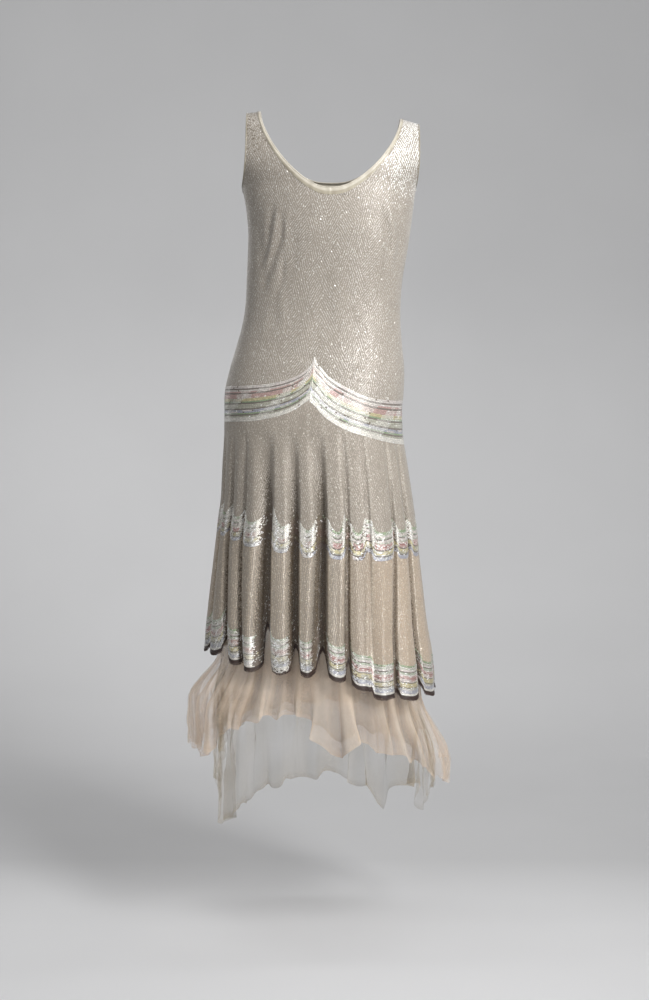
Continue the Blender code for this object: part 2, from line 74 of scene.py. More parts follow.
# strap: outer edge x, its height z, inner height z
STRAP = {"left": (149, 9, 11), "right": (-152, -10, -2)}
UNDERARM_Z = -0.120
SHOULDER_HALF = 0.190
SHOULDER_ROUND = 0.118
NECK_CENTRE_X = 0.003
NECK = {
    "back": dict(half=123, drop=128, power=1.53, bind_strap=4, bind_centre=11),
    "front": dict(half=123, drop=112, power=1.75, bind_strap=5, bind_centre=11),
}
# degrees from the centre, band top and bottom on the wearer's left, on the right
SWAG = (
    (0, -414, -486, -414, -486),
    (3, -434, -494, -431, -501),
    (7, -444, -503, -445, -516),
    (13, -452, -511, -457, -529),
    (23, -459, -519, -471, -543),
    (36, -463, -525, -484, -553),
    (52, -466, -528, -490, -563),
    (70, -468, -531, -493, -570),
    (90, -471, -534, -495, -574),
)
SWAG_CENTRE = 88.3
# fold line angles at hip, mid, hem; mouth half width at mid, at hem; depth at mid,
# at hem; sunk flute
FLUTES = (
    (0, -4, -6, 2.6, 3.0, 11, 16, 0),
    (15, 14, 14, 2.6, 3.0, 10, 15, 0),
    (31, 28.5, 39, 2.0, 2.2, 13, 18, 3),
    (45, 44, 51, 1.6, 2.0, 11, 15, 0),
    (62.5, 63.3, 65.2, 3.4, 4.3, 19, 27, 0),
    (79, 80, 81, 2.5, 2.3, 18, 24, 0),
    (92.2, 92.5, 91.3, 2.1, 2.7, 19, 26, 0),
    (106.5, 105.2, 102.8, 1.6, 1.8, 12, 15, 6),
    (119, 118, 113.5, 1.8, 2.2, 6, 3.5, 0),
    (140, 138.8, 130, 1.8, 2.0, 10, 14, 2),
    (155, 156, 151, 2.4, 2.8, 11, 16, 0),
    (180, 177, 176, 2.6, 3.0, 10, 16, 0),
    (197, 195, 194, 2.4, 2.8, 13, 20, 2),
    (214, 213, 212, 2.4, 2.8, 15, 22, 0),
    (230, 230, 230, 2.8, 3.6, 17, 25, 0),
    (246, 246, 247, 2.2, 2.6, 14, 20, 3),
    (262, 262, 262, 2.4, 3.0, 18, 25, 0),
    (279, 279, 279, 2.6, 3.2, 16, 23, 0),
    (296, 296, 297, 2.2, 2.6, 14, 21, 2),
    (313, 314, 315, 2.6, 3.2, 17, 23, 0),
    (333, 333, 334, 2.6, 3.0, 11, 17, 0),
)
SEAM_END = (360, 356, 354, 2.6, 3.0, 11, 16, 0)
BACK_FLUTES = 11
# how gently each fold line is reached from its left
SLOPES = (0.3, 0.3, 0.5, 1.3, 1.7, 1.0, 1.0, 0.5, 0.9, 0.5, 0.4, 0.4, 0.8, 1.3, 0.5, 1.1, 0.9, 1.4, 0.6, 1.0, 0.5, 0.3)
# how much lower each flute hangs on its right edge than on its left, mid and hem, in mm
LEANS = ((0, 3), (2, -4), (0, 5), (-3, -7), (2, 2), (-2, -3), (4, 10), (0, 4), (-3, -2), (2, 5), (0, 2), (2, 3), (-2, -5),
         (3, 4), (-2, -4), (2, 6), (-3, -3), (2, 4), (0, -5), (2, 3), (-2, 2))
# scallops: mid low, rise before it, hem low, rise before it
SCALLOPS = (
    (-730, 20, -945, 34),
    (-732, 22, -941, 40),
    (-737, 22, -951, 40),
    (-744, 24, -961, 26),
    (-752, 24, -961, 78),
    (-760, 26, -965, 46),
    (-763, 26, -973, 42),
    (-767, 26, -990, 40),
    (-769, 24, -1008, 8),
    (-770, 22, -1017, 10),
    (-771, 22, -1020, 32),
    (-773, 24, -1020, 38),
    (-772, 24, -1017, 44),
    (-770, 26, -1010, 40),
    (-767, 24, -1002, 48),
    (-763, 26, -994, 38),
    (-758, 26, -985, 46),
    (-752, 24, -976, 40),
    (-746, 26, -967, 44),
    (-740, 22, -958, 40),
    (-733, 24, -950, 38),
)
# height of the mid band's two horns on each flute, times the rise
HORNS = ((0.7, 0.6), (0.8, 0.6), (0.9, 0.5), (0.75, 0.6), (1.6, 0.5), (0.6, 1.15), (0.95, 1.6), (0.9, 1.25), (1.1, 0.5),
         (0.35, 0.45), (0.5, 0.6), (0.8, 1.1), (1.2, 0.6), (0.7, 1.3), (0.9, 0.9), (1.4, 0.6), (0.8, 1.2), (1.1, 0.7),
         (0.6, 1.2), (0.9, 0.8), (0.8, 0.7))
MID_BAND = (41, 52)
HEM_BAND = 59
CUSP_KEEP = 0.62
HIP_LEVEL, MID_LEVEL, HEM_LEVEL = -0.545, -0.750, -0.970
# tulle: degrees, short and long layer's flare, short and long layer's hem
TULLE = (
    (0, 38, -9, -1116, -1190),
    (12, 37, -8, -1108, -1176),
    (24, 32, -6, -1124, -1150),
    (36, 27, -2, -1114, -1104),
    (42, 24, 0, -1074, -1066),
    (54, 20, 4, -1058, -1052),
    (66, 18, 8, -1036, -1032),
    (84, 16, 8, -1036, -1032),
    (90, 15, 8, -1070, -1052),
    (96, 15, 8, -1124, -1088),
    (104, 15, 8, -1064, -1056),
    (108, 15, 8, -1086, -1060),
    (120, 16, 8, -1104, -1072),
    (138, 18, 8, -1126, -1100),
    (150, 24, 8, -1158, -1140),
    (166, 33, 8, -1180, -1180),
    (180, 38, 8, -1190, -1206),
    (192, 33, 8, -1160, -1214),
    (204, 24, 10, -1128, -1262),
    (210, 22, 12, -1118, -1278),
    (216, 20, 12, -1108, -1230),
    (230, 18, 12, -1096, -1238),
    (240, 18, 12, -1090, -1300),
    (246, 18, 12, -1088, -1252),
    (254, 18, 12, -1086, -1248),
    (264, 18, 12, -1084, -1225),
    (282, 18, 12, -1090, -1240),
    (300, 20, 11, -1096, -1254),
    (312, 24, 8, -1104, -1284),
    (324, 28, 2, -1116, -1298),
    (336, 34, -4, -1136, -1290),
    (348, 38, -9, -1144, -1236),
    (360, 38, -9, -1116, -1190),
)
TULLE_CLEAR = 0.0075
TULLE_PLY = 0.006
PUFF = (0.088, 0.135)
HEM_DROP = 0.004

NECK_FLAT = 0.005
# Creases of the bodice: side, start x and z, end x and z, half width, height
# (negative is a furrow), in mm
CREASES = (
    ("back", 103, -150, 130, -262, 5.6, -2.4),
    ("back", 88, -166, 118, -286, 5.4, -2.4),
    ("back", 96, -158, 125, -262, 4.8, 1.9),
    ("back", 78, -168, 104, -280, 5.6, 1.5),
    ("back", 84, -204, 102, -318, 5.2, -1.8),
    ("back", 66, -182, 84, -300, 9.0, -0.8),
    ("back", 134, -168, 127, -310, 9.0, -1.8),
    ("back", 119, -262, 106, -370, 10.0, -1.3),
    ("back", 96, -270, 90, -370, 8.0, 1.0),
    ("back", -86, -160, -96, -246, 5.2, -2.7),
    ("back", -98, -154, -107, -236, 5.4, 2.2),
    ("back", -108, -176, -112, -268, 5.4, -2.2),
    ("back", -70, -200, -80, -290, 9.0, 1.0),
    ("back", -20, -440, -72, -447, 3.0, -0.9),
    ("back", -30, -458, -88, -470, 3.0, -0.7),
    ("back", 58, -414, 24, -424, 3.0, -0.8),
    ("back", 30, -300, 64, -395, 12.0, 1.2),
    ("back", -40, -320, -66, -410, 12.0, 1.1),
    ("back", 112, -260, 118, -380, 9.0, 1.5),
    ("back", 2, -250, -6, -400, 14.0, 0.8),
    ("back", -96, -290, -100, -420, 8.0, -1.2),
    ("front", 112, -140, 84, -206, 5.0, -2.6),
    ("front", 124, -150, 104, -222, 5.5, 1.9),
    ("front", -108, -146, -84, -212, 5.0, -2.4),
    ("front", -118, -150, -100, -230, 5.5, 1.7),
    ("front", 60, -230, 70, -330, 10.0, -1.4),
    ("front", -58, -240, -72, -342, 10.0, -1.5),
    ("front", 20, -260, 26, -390, 14.0, 1.0),
    ("front", -14, -250, -22, -380, 13.0, 0.9),
    ("front", 104, -300, 112, -420, 9.0, 1.4),
    ("front", -96, -300, -100, -430, 9.0, 1.3),
    ("front", 40, -440, 84, -450, 3.0, -0.8),
    ("front", -30, -446, -76, -462, 3.0, -0.8),
)

# Bead rows of the bands, top to bottom
HIP_ROWS = "wwdwrdrrryygdbbbdllgdbccc"
MID_ROWS = "ggmwwmdwwmrrprrdyyybdlll"
HEM_ROWS = "ggwmwwdmmwrrprrwdyyyydbllllcckkk"


# ------------------------------------------------------------------ curves
def mix(a, b, t):
    return a + (b - a) * t


def smooth(t):
    t = np.clip(t, 0.0, 1.0)
    return t * t * (3 - 2 * t)


def spow(v, p):
    return np.sign(v) * np.abs(v) ** p


def curve(x, y, at):
    """Smooth curve through the points of a table, at the places asked for."""
    x, y, at = np.asarray(x, float), np.asarray(y, float), np.asarray(at, float)
    slope = np.gradient(y, x)
    i = np.clip(np.searchsorted(x, at, side="right") - 1, 0, len(x) - 2)
    h = x[i + 1] - x[i]
    t = np.clip((at - x[i]) / h, 0, 1)
    return (
        (2 * t**3 - 3 * t**2 + 1) * y[i]
        + (t**3 - 2 * t**2 + t) * h * slope[i]
        + (3 * t**2 - 2 * t**3) * y[i + 1]
        + (t**3 - t**2) * h * slope[i + 1]
    )


_rows = np.array(OUTLINE, float)[::-1]
_z = np.linspace(_rows[0, 0], _rows[-1, 0], 1400)
_fine = [curve(_rows[:, 0], _rows[:, k], _z) / 1000 for k in (1, 2, 3, 4)]
_z = _z / 1000


def outline(z):
    left, right, back, front = (np.interp(z, _z, f) for f in _fine)
    return (left + right) / 2, (left - right) / 2, back, -front


def on_dress(degrees, z, inset=0.0):
    degrees, z, inset = np.broadcast_arrays(np.asarray(degrees, float), z, inset)
    middle, half, back, front = outline(z)
    c, s = np.cos(np.radians(degrees)), np.sin(np.radians(degrees))
    depth = np.where(s >= 0, back, front)
    dx = half * spow(c, 2 / SQUARE)
    dy = depth * spow(s, 2 / SQUARE)
    nx = spow(dx / half, SQUARE - 1) / half
    ny = spow(dy / depth, SQUARE - 1) / depth
    length = np.hypot(nx, ny)
    return np.stack([middle + dx - nx / length * inset, dy - ny / length * inset, z], -1)


def swag(degrees, edge):
    d = np.asarray(degrees, float)
    centre = np.where(d <= 180, SWAG_CENTRE, 360 - SWAG_CENTRE)
    offset = np.abs(d - centre)
    left = (d < SWAG_CENTRE) | (d > 360 - SWAG_CENTRE)
    table = np.array(SWAG, float)
    k = {"top": 1, "bottom": 2}[edge]
    root = np.sqrt(table[:, 0])
    on_left = curve(root, table[:, k], np.sqrt(offset))
    on_right = curve(root, table[:, k + 2], np.sqrt(offset))
    return np.where(left, on_left, on_right) / 1000


# ------------------------------------------------------------------ skirt surface
ALL = np.array(FLUTES + (SEAM_END,), float)
SC = np.array(SCALLOPS, float)
rng = np.random.default_rng(1929)
# small soft folds on the flutes: place in the flute, half width, height, centre level, reach
MINOR = [
    (k + rng.uniform(0.2, 0.8), rng.uniform(0.05, 0.11), rng.uniform(-1.4, 1.5) / 1000,
     rng.uniform(-0.98, -0.62), rng.uniform(0.06, 0.16), rng.uniform(-0.5, 0.5))
    for k in range(len(FLUTES)) for _ in range(3)
]


def fold_angle(k, z):
    hip, mid, hem = ALL[k, 0], ALL[k, 1], ALL[k, 2]
    upper = mix(hip, mid, np.clip((z - HIP_LEVEL) / (MID_LEVEL - HIP_LEVEL), 0, 1))
    lower = mix(mid, hem, np.clip((z - MID_LEVEL) / (HEM_LEVEL - MID_LEVEL), 0, 1))
    return np.where(z > MID_LEVEL, upper, lower)


def level_mix(mid, hem, z):
    grown = np.clip((z - HIP_LEVEL) / (MID_LEVEL - HIP_LEVEL), 0, 1) ** 0.75
    t = np.clip((z - MID_LEVEL) / (HEM_LEVEL - MID_LEVEL), 0, 1)
    return np.where(z > MID_LEVEL, mid * grown, mix(mid, hem, t)) / 1000


def skirt(u, z):
    """Point of the fluted skirt; u counts flutes from the left side seam."""
    u, z = np.broadcast_arrays(np.asarray(u, float), z)
    k = np.clip(np.floor(u + 1e-9).astype(int), 0, len(FLUTES) - 1)
    t = u - k
    a, b = fold_angle(k, z), fold_angle(k + 1, z)
    angle = mix(a, b, t)
    sunk = level_mix(ALL[k, 7], ALL[k, 7], z)
    deep = sunk.copy()
    down = np.clip((z - MID_LEVEL) / (HEM_LEVEL - MID_LEVEL), 0, 1)
    soft = 1 + 1.3 * (1 - np.clip((z - HIP_LEVEL) / (MID_LEVEL - HIP_LEVEL), 0, 1)) ** 1.3
    face = 1.0
    gentle = np.array(SLOPES)[k + 1]
    for line, away, slope in ((k, angle - a, 0), (k + 1, b - angle, gentle)):
        half = mix(ALL[line, 3], ALL[line, 4], down)
        g = 1 - smooth((away / half - 0.45 / soft) / (0.65 + 0.9 * (soft - 1) + slope))
        deep = deep + (level_mix(ALL[line, 5], ALL[line, 6], z) - sunk) * g
        face = face * (1 - g)
    width = np.clip(np.abs(b - a) / 16, 0.4, 1.2)
    crown = np.sin(np.pi * np.clip(t, 0, 1))
    deep = deep + (level_mix(3.6, 6.6, z) * (1 - crown) * face - level_mix(1.2, 2.4, z) * crown) * width
    for place, half, height, level, reach, lean in MINOR:
        d = (u - place - lean * (z - level)) / half
        deep = deep - height * np.exp(-d * d) * np.exp(-(((z - level) / reach) ** 2))
    return on_dress(angle, z, deep), deep


def scallop(u, which, lower):
    u = np.asarray(u, float)
    k = np.clip(np.floor(u + 1e-9).astype(int), 0, len(FLUTES) - 1)
    t = u - k
    low_c, rise_c = (0, 1) if which == "mid" else (2, 3)
    n = len(FLUTES)
    low, before, after = SC[k, low_c], SC[k - 1, low_c], SC[(k + 1) % n, low_c]
    point = np.where(t < 0.5, (low + before) / 2 + SC[k, rise_c], (low + after) / 2 + SC[(k + 1) % n, rise_c])
    line = np.where(t < 0.5, k, k + 1)
    width = np.abs(ALL[k + 1, 1] - ALL[k, 1])
    half = ALL[line, 3] if which == "mid" else (ALL[line, 3] + ALL[line, 4]) / 2
    away = np.minimum(t, 1 - t) * width / half
    rim = np.clip(away - 1, 0, None)
    face = np.abs(2 * t - 1) ** 2
    if which == "mid":
        across = 0.22 * face + 0.78 * np.exp(-((rim / (0.85 if not lower else 0.45)) ** 1.4))
        horn = np.array(HORNS)[k, np.where(t < 0.5, 0, 1)]
        across = across * (1 if lower else mix(1, horn, smooth(away - 0.3)))
    else:
        across = 0.34 * face + 0.66 * (1 - smooth((away - 0.35) / 0.95))
    if which == "mid":
        turn = np.cos(np.radians(mix(ALL[k, 1], ALL[k + 1, 1], t)))
        height = mix(MID_BAND[1], MID_BAND[0], (turn + 1) / 2)
        keep = CUSP_KEEP if lower else 1.0
    else:
        height, keep = HEM_BAND, 1.0
    lean = np.array(LEANS)[k, 0 if which == "mid" else 1] * (0.5 - t)
    value = mix(low, point, across * keep) + lean
    return (value if lower else value + height) / 1000


def hip_angle(u):
    k = np.clip(np.floor(np.asarray(u, float) + 1e-9).astype(int), 0, len(FLUTES) - 1)
    return mix(ALL[k, 0], ALL[k + 1, 0], u - k)


def edge(u, name):
    if name.startswith("hip"):
        return swag(hip_angle(u), name[4:])
    return scallop(u, name[:3], name.endswith("bottom"))


def flute_columns(first, last, also=()):
    """Columns over some flutes, closer together in the folds."""
    out = []
    for k in range(first, last):
        width = ALL[k + 1, 1] - ALL[k, 1]
        a = 1.3 * max(ALL[k, 3], ALL[k, 4]) / width
        b = 1 - 1.3 * max(ALL[k + 1, 3], ALL[k + 1, 4]) / width
        a, b = (a, b) if b - a > 0.12 else (0.44, 0.56)
        out += list(k + np.linspace(0, a, 13)[:-1])
        out += list(k + np.linspace(a, b, max(7, round((b - a) * width / 1.2)))[:-1])
        out += list(k + np.linspace(b, 1, 13)[:-1])
    return np.array(sorted(set(out) | {float(last)} | set(also)))


def u_at_hip(degrees):
    return float(np.interp(degrees, ALL[:, 0], np.arange(len(ALL))))


# ------------------------------------------------------------------ bodice surface
def scoop(side, hand, turn, grow):
    n = NECK[side]
    half = (n["half"] + grow * n["bind_strap"]) / 1000
    drop = (n["drop"] + grow * n["bind_centre"]) / 1000
    t = np.radians(turn)
    top = STRAP[hand][2] / 1000
    sign = 1 if hand == "left" else -1
    power = 2 / n["power"]
    level = mix(top, (STRAP["left"][2] + STRAP["right"][2]) / 2000, smooth(np.asarray(turn) / 90))
    rise = drop * (1 - np.sin(t) ** power)
    rise = np.hypot(rise, NECK_FLAT) - NECK_FLAT + NECK_FLAT * rise / drop
    return NECK_CENTRE_X + sign * half * np.cos(t) ** power, level - drop + rise


def shoulder(side, x, z, top):
    middle, half, back, front = outline(np.minimum(z, -0.110))
    depth = back if side == "back" else front
    half = mix(half, SHOULDER_HALF, smooth((z - UNDERARM_Z) / 0.060))
    across = np.maximum(0.0, 1 - np.minimum(1.0, np.abs((x - middle) / half)) ** SQUARE) ** (1 / SQUARE)
    down = np.clip((top - z) / SHOULDER_ROUND, 0, 1)
    y = depth * across * np.sqrt(1 - (1 - down) ** 2)
    return y if side == "back" else -y


TURN_LOW = 89.6


def upper(side, hand, turn, share):
    power = 2 / NECK[side]["power"]
    fall = (np.sin(np.radians(turn)) / np.sin(np.radians(TURN_LOW))) ** power
    sign = 1 if hand == "left" else -1
    outer_x, outer_z, inner_z = (value / 1000 for value in STRAP[hand])
    middle, half, _, _ = outline(UNDERARM_Z)
    ax = mix(outer_x, middle + sign * half, fall**4)
    az = mix(outer_z, UNDERARM_Z, fall)
    nx, nz = scoop(side, hand, turn, 1)
    share = mix(share, 1 - np.cos(np.radians(90 * share)) ** (2 / SQUARE), fall)
    x, z = mix(ax, nx, share), mix(az, nz, share ** (1 - 0.90 * fall**6))
    top = mix(outer_z, inner_z, share)
    return np.stack(np.broadcast_arrays(x, shoulder(side, x, z, top), z), -1), top


def arc_across(side, x, z, top):
    """Distance round the body from the middle line to a point."""
    middle, half, back, front = outline(np.minimum(z, -0.110))
    half = mix(half, SHOULDER_HALF, smooth((z - UNDERARM_Z) / 0.060))
    down = np.clip((top - z) / SHOULDER_ROUND, 0, 1)
    depth = (back if side == "back" else front) * np.where(z > -0.125, np.sqrt(1 - (1 - down) ** 2), 1.0)
    across = np.clip((x - middle) / half, -1, 1)
    end = np.arccos(spow(np.abs(across), SQUARE / 2))
    steps = np.linspace(0, 1, 33)
    a = math.pi / 2 + (end[..., None] - math.pi / 2) * steps
    px = half[..., None] * spow(np.cos(a), 2 / SQUARE)
    py = depth[..., None] * spow(np.sin(a), 2 / SQUARE)
    return np.sign(across) * np.hypot(np.diff(px), np.diff(py)).sum(-1)


def bodice_grid(side):
    """Grid of a bodice panel: points, flat coordinates and faces to leave out."""
    n, low, high = 62, 78, 36
    share = np.linspace(0, 1, n)
    turns = np.linspace(TURN_LOW, 0, high)
    columns = 2 * n + 1
    points = np.zeros((low + high, columns, 3))
    tops = np.zeros((low + high, columns))
    for j, turn in enumerate(turns):
        left, top_l = upper(side, "left", turn, share)
        right, top_r = upper(side, "right", turn, share[::-1])
        x, z = scoop(side, "left", 90, 1)
        points[low + j] = np.vstack([left, [[x, shoulder(side, x, z, 0.0), z]], right])
        tops[low + j] = np.concatenate([top_l, [0.0], top_r])
    top_row = points[low]
    middle, half, _, _ = outline(top_row[:, 2])
    across = np.clip((top_row[:, 0] - middle) / half, -1, 1)
    angle_top = np.degrees(np.arccos(spow(across, SQUARE / 2)))
    place = np.concatenate([np.linspace(0, 1, n + 1), np.linspace(1, 2, n + 1)[1:]])
    angle_low = np.where(place <= 1, SWAG_CENTRE * place, SWAG_CENTRE + (180 - SWAG_CENTRE) * (place - 1))
    real = angle_low if side == "back" else 360 - angle_low
    z_low = swag(real, "top")
    for j in range(low):
        t = j / low
        z = mix(z_low, top_row[:, 2], t)
        angle = mix(angle_low, angle_top, smooth(t))
        points[j] = on_dress(angle if side == "back" else 360 - angle, z)
        tops[j] = 0.0
    x, z = points[..., 0], points[..., 2]
    s = arc_across(side, x, z, tops)
    down = np.clip((tops - z) / SHOULDER_ROUND, 0, 1)
    roll = (tops - SHOULDER_ROUND) + SHOULDER_ROUND * (math.pi / 2 - np.arccos(1 - down)) * 0.95
    h = np.where(z > tops - SHOULDER_ROUND, roll, z)
    skip = np.zeros((low + high - 1, columns - 1), bool)
    skip[low:, n - 1] = skip[low:, n] = True
    return points, np.stack([s, h], -1), skip, low


def normals_of(points):
    """Normals of a grid of points, away from the wearer."""
    along = np.gradient(points, axis=1)
    up = np.gradient(points, axis=0)
    n = np.cross(along, up)
    n /= np.maximum(np.linalg.norm(n, axis=-1, keepdims=True), 1e-12)
    flip = np.sum(n[..., :2] * (points[..., :2] - [0.02, 0.0]), -1) < 0
    n[flip] *= -1
    return n


def crease_height(side, points):
    x, z = points[..., 0] * 1000, points[..., 2] * 1000
    out = np.zeros(x.shape)
    for where, x0, z0, x1, z1, width, height in CREASES:
        if where != side:
            continue
        dx, dz = x1 - x0, z1 - z0
        long = math.hypot(dx, dz)
        t = ((x - x0) * dx + (z - z0) * dz) / long**2
        bend = 0.07 * long * np.sin(math.pi * np.clip(t, 0, 1)) + 0.02 * long * np.sin(7 * t + x0)
        away = ((x - x0) * dz - (z - z0) * dx) / long - bend
        taper = smooth(np.clip(t + 0.15, 0, 1) / 0.45) * smooth(np.clip(1.2 - t, 0, 1) / 0.55)
        out += height * np.exp(-((away / width) ** 2)) * taper
    return out / 1000


# ------------------------------------------------------------------ meshes
def link(obj):
    bpy.context.scene.collection.objects.link(obj)
    return obj


def mesh_from(name, verts, faces, uv=None, slots=None, slot_of=None, flat=False, values=None):
    """Mesh of vertices and a faces array (quads, or triangles as -1 ended quads)."""
    faces = np.asarray(faces, np.int64)
    used = np.unique(faces[faces >= 0])
    remap = np.full(len(verts), -1)
    remap[used] = np.arange(len(used))
    verts = np.asarray(verts, np.float32)[used]
    count = (faces >= 0).sum(1)
    loops = remap[faces[faces >= 0]]
    me = bpy.data.meshes.new(name)
    me.vertices.add(len(verts))
    me.vertices.foreach_set("co", verts.ravel())
    me.loops.add(len(loops))
    me.loops.foreach_set("vertex_index", loops.astype(np.int32))
    me.polygons.add(len(faces))
    starts = np.concatenate([[0], np.cumsum(count)[:-1]])
    me.polygons.foreach_set("loop_start", starts.astype(np.int32))
    me.polygons.foreach_set("loop_total", count.astype(np.int32))
    me.polygons.foreach_set("use_smooth", np.full(len(faces), not flat))
    if slot_of is not None:
        me.polygons.foreach_set("material_index", np.asarray(slot_of, np.int32))
    me.update(calc_edges=True)
    if uv is not None:
        layer = me.uv_layers.new(name="cloth")
        layer.data.foreach_set("uv", np.asarray(uv, np.float32)[used][loops].ravel())
    for key, data in (values or {}).items():
        attribute = me.attributes.new(key, "FLOAT", "POINT")
        attribute.data.foreach_set("value", np.asarray(data, np.float32)[used])
    me.validate()
    obj = link(bpy.data.objects.new(name, me))
    for m in slots or []:
        me.materials.append(m)
    return obj


def grid_faces(rows, columns, skip=None, flip=False):
    i, j = np.meshgrid(np.arange(columns - 1), np.arange(rows - 1))
    a = j * columns + i
    quads = np.stack([a, a + 1, a + columns + 1, a + columns], -1).reshape(-1, 4)
    if flip:
        quads = quads[:, ::-1]
    if skip is not None:
        quads = quads[~skip.ravel()]
    return quads


def tube(name, line, radius, material, sides=8, squash=1.0, closed=False):
    """Round cord along a line of points."""
    line = np.asarray(line, float)
    n = len(line)
    radius = np.broadcast_to(np.asarray(radius, float), (n,))
    ahead = np.gradient(line, axis=0)
    ahead /= np.linalg.norm(ahead, axis=1, keepdims=True)
    side = np.cross(ahead, [0.03, 0.02, 1.0])
    side /= np.maximum(np.linalg.norm(side, axis=1, keepdims=True), 1e-9)
    for k in range(1, n):
        if np.dot(side[k], side[k - 1]) < 0:
            side[k] *= -1
    up = np.cross(side, ahead)
    a = np.linspace(0, 2 * math.pi, sides, endpoint=False)
    ring = line[:, None] + radius[:, None, None] * (
        np.cos(a)[None, :, None] * side[:, None] * squash + np.sin(a)[None, :, None] * up[:, None]
    )
    verts = ring.reshape(-1, 3)
    faces = []
    for k in range(n - 1):
        for m in range(sides):
            p, q = k * sides + m, k * sides + (m + 1) % sides
            faces.append((p, q, q + sides, p + sides))
    verts = np.vstack([verts, line[:1], line[-1:]])
    s, e = len(verts) - 2, len(verts) - 1
    for m in range(sides):
        faces.append((m, s, (m + 1) % sides, -1))
        faces.append(((n - 1) * sides + (m + 1) % sides, e, (n - 1) * sides + m, -1))
    return mesh_from(name, verts, faces, slots=[material])


# one bead: four corners on the cloth and a ridge above them
BEAD_QUADS = np.array([(0, 1, 5, 4), (2, 3, 4, 5)])


def beads(name, centre, along, normal, long, wide, tall, slots, slot_of):
    """Joined mesh of glass beads that lie on the cloth."""
    count = len(centre)
    side = np.cross(normal, along)
    side /= np.linalg.norm(side, axis=1, keepdims=True)
    long, wide, tall = (np.broadcast_to(np.asarray(v, float), (count,))[:, None] for v in (long, wide, tall))
    l, w, t = along * long / 2, side * wide / 2, normal * tall
    base = centre - normal * 0.0002
    v = np.stack([
        base - l - w, base + l - w, base + l + w, base - l + w,
        base - l * 0.85 + t, base + l * 0.85 + t,
    ], 1).reshape(-1, 3)
    f = (BEAD_QUADS[None] + (np.arange(count) * 6)[:, None, None]).reshape(-1, 4)
    return mesh_from(name, v, f, slots=slots, slot_of=np.repeat(slot_of, 2))


def flat_lattice(lo, hi, spacing, pitch, degrees, shift=0.0):
    """Points of rows at an angle over a flat box: rows pitch apart."""
    c, s = math.cos(math.radians(degrees)), math.sin(math.radians(degrees))
    mid = (np.array(lo) + hi) / 2
    reach = np.linalg.norm(np.array(hi) - lo) / 2 + 0.01
    a = np.arange(-reach, reach, spacing)
    b = np.arange(-reach, reach, pitch)
    aa, bb = np.meshgrid(a, b)
    row = np.broadcast_to(np.arange(len(b))[:, None], aa.shape).reshape(-1)
    aa = aa + (np.arange(len(b)) % 2)[:, None] * spacing / 2 + shift
    p = np.stack([mid[0] + aa * c - bb * s, mid[1] + aa * s + bb * c], -1).reshape(-1, 2)
    inside = (p > np.array(lo)).all(1) & (p < np.array(hi)).all(1)
    return p[inside], row[inside]


class Cloth:
    """A sheet's grid laid flat, so that beads can be put on it by flat place."""

    def __init__(self, points, flat, faces, extra=None):
        self.p = points.reshape(-1, 3)
        self.uv = flat.reshape(-1, 2)
        tri = np.vstack([faces[:, [0, 1, 2]], faces[:, [0, 2, 3]]])
        self.tri = tri
        flat3 = np.column_stack([self.uv, np.zeros(len(self.uv))])
        self.tree = BVHTree.FromPolygons(flat3.tolist(), tri.tolist())
        n = normals_of(points)
        self.n = n.reshape(-1, 3)
        self.extra = np.zeros(len(self.p)) if extra is None else extra.reshape(-1)

    def place(self, at, turn):
        """Centres, directions and normals for flat places and flat angles."""
        down = Vector((0, 0, -1))
        hit, keep = [], []
        for k, (x, y) in enumerate(at):
            _, _, index, _ = self.tree.ray_cast(Vector((x, y, 1)), down)
            if index is not None:
                hit.append(index)
                keep.append(k)
        keep, tri = np.array(keep), self.tri[np.array(hit)]
        at, turn = at[keep], turn[keep]
        a, b, c = (self.uv[tri[:, k]] for k in range(3))
        det = (b[:, 0] - a[:, 0]) * (c[:, 1] - a[:, 1]) - (c[:, 0] - a[:, 0]) * (b[:, 1] - a[:, 1])
        det = np.where(np.abs(det) < 1e-15, 1e-15, det)
        p = at - a
        w1 = (p[:, 0] * (c[:, 1] - a[:, 1]) - (c[:, 0] - a[:, 0]) * p[:, 1]) / det
        w2 = ((b[:, 0] - a[:, 0]) * p[:, 1] - p[:, 0] * (b[:, 1] - a[:, 1])) / det
        A, B, C = (self.p[tri[:, k]] for k in range(3))
        centre = A + (B - A) * w1[:, None] + (C - A) * w2[:, None]
        nA, nB, nC = (self.n[tri[:, k]] for k in range(3))
        normal = nA + (nB - nA) * w1[:, None] + (nC - nA) * w2[:, None]
        normal /= np.linalg.norm(normal, axis=1, keepdims=True)
        d = np.stack([np.cos(turn), np.sin(turn)], -1)
        d1 = (d[:, 0] * (c[:, 1] - a[:, 1]) - (c[:, 0] - a[:, 0]) * d[:, 1]) / det
        d2 = ((b[:, 0] - a[:, 0]) * d[:, 1] - d[:, 0] * (b[:, 1] - a[:, 1])) / det
        along = (B - A) * d1[:, None] + (C - A) * d2[:, None]
        along -= normal * np.sum(along * normal, 1, keepdims=True)
        size = np.linalg.norm(along, axis=1)
        good = size > 1e-6
        along = along / np.maximum(size, 1e-9)[:, None]
        eA, eB, eC = (self.extra[tri[:, k]] for k in range(3))
        extra = eA + (eB - eA) * w1 + (eC - eA) * w2
        return keep[good], centre[good], along[good], normal[good], extra[good]


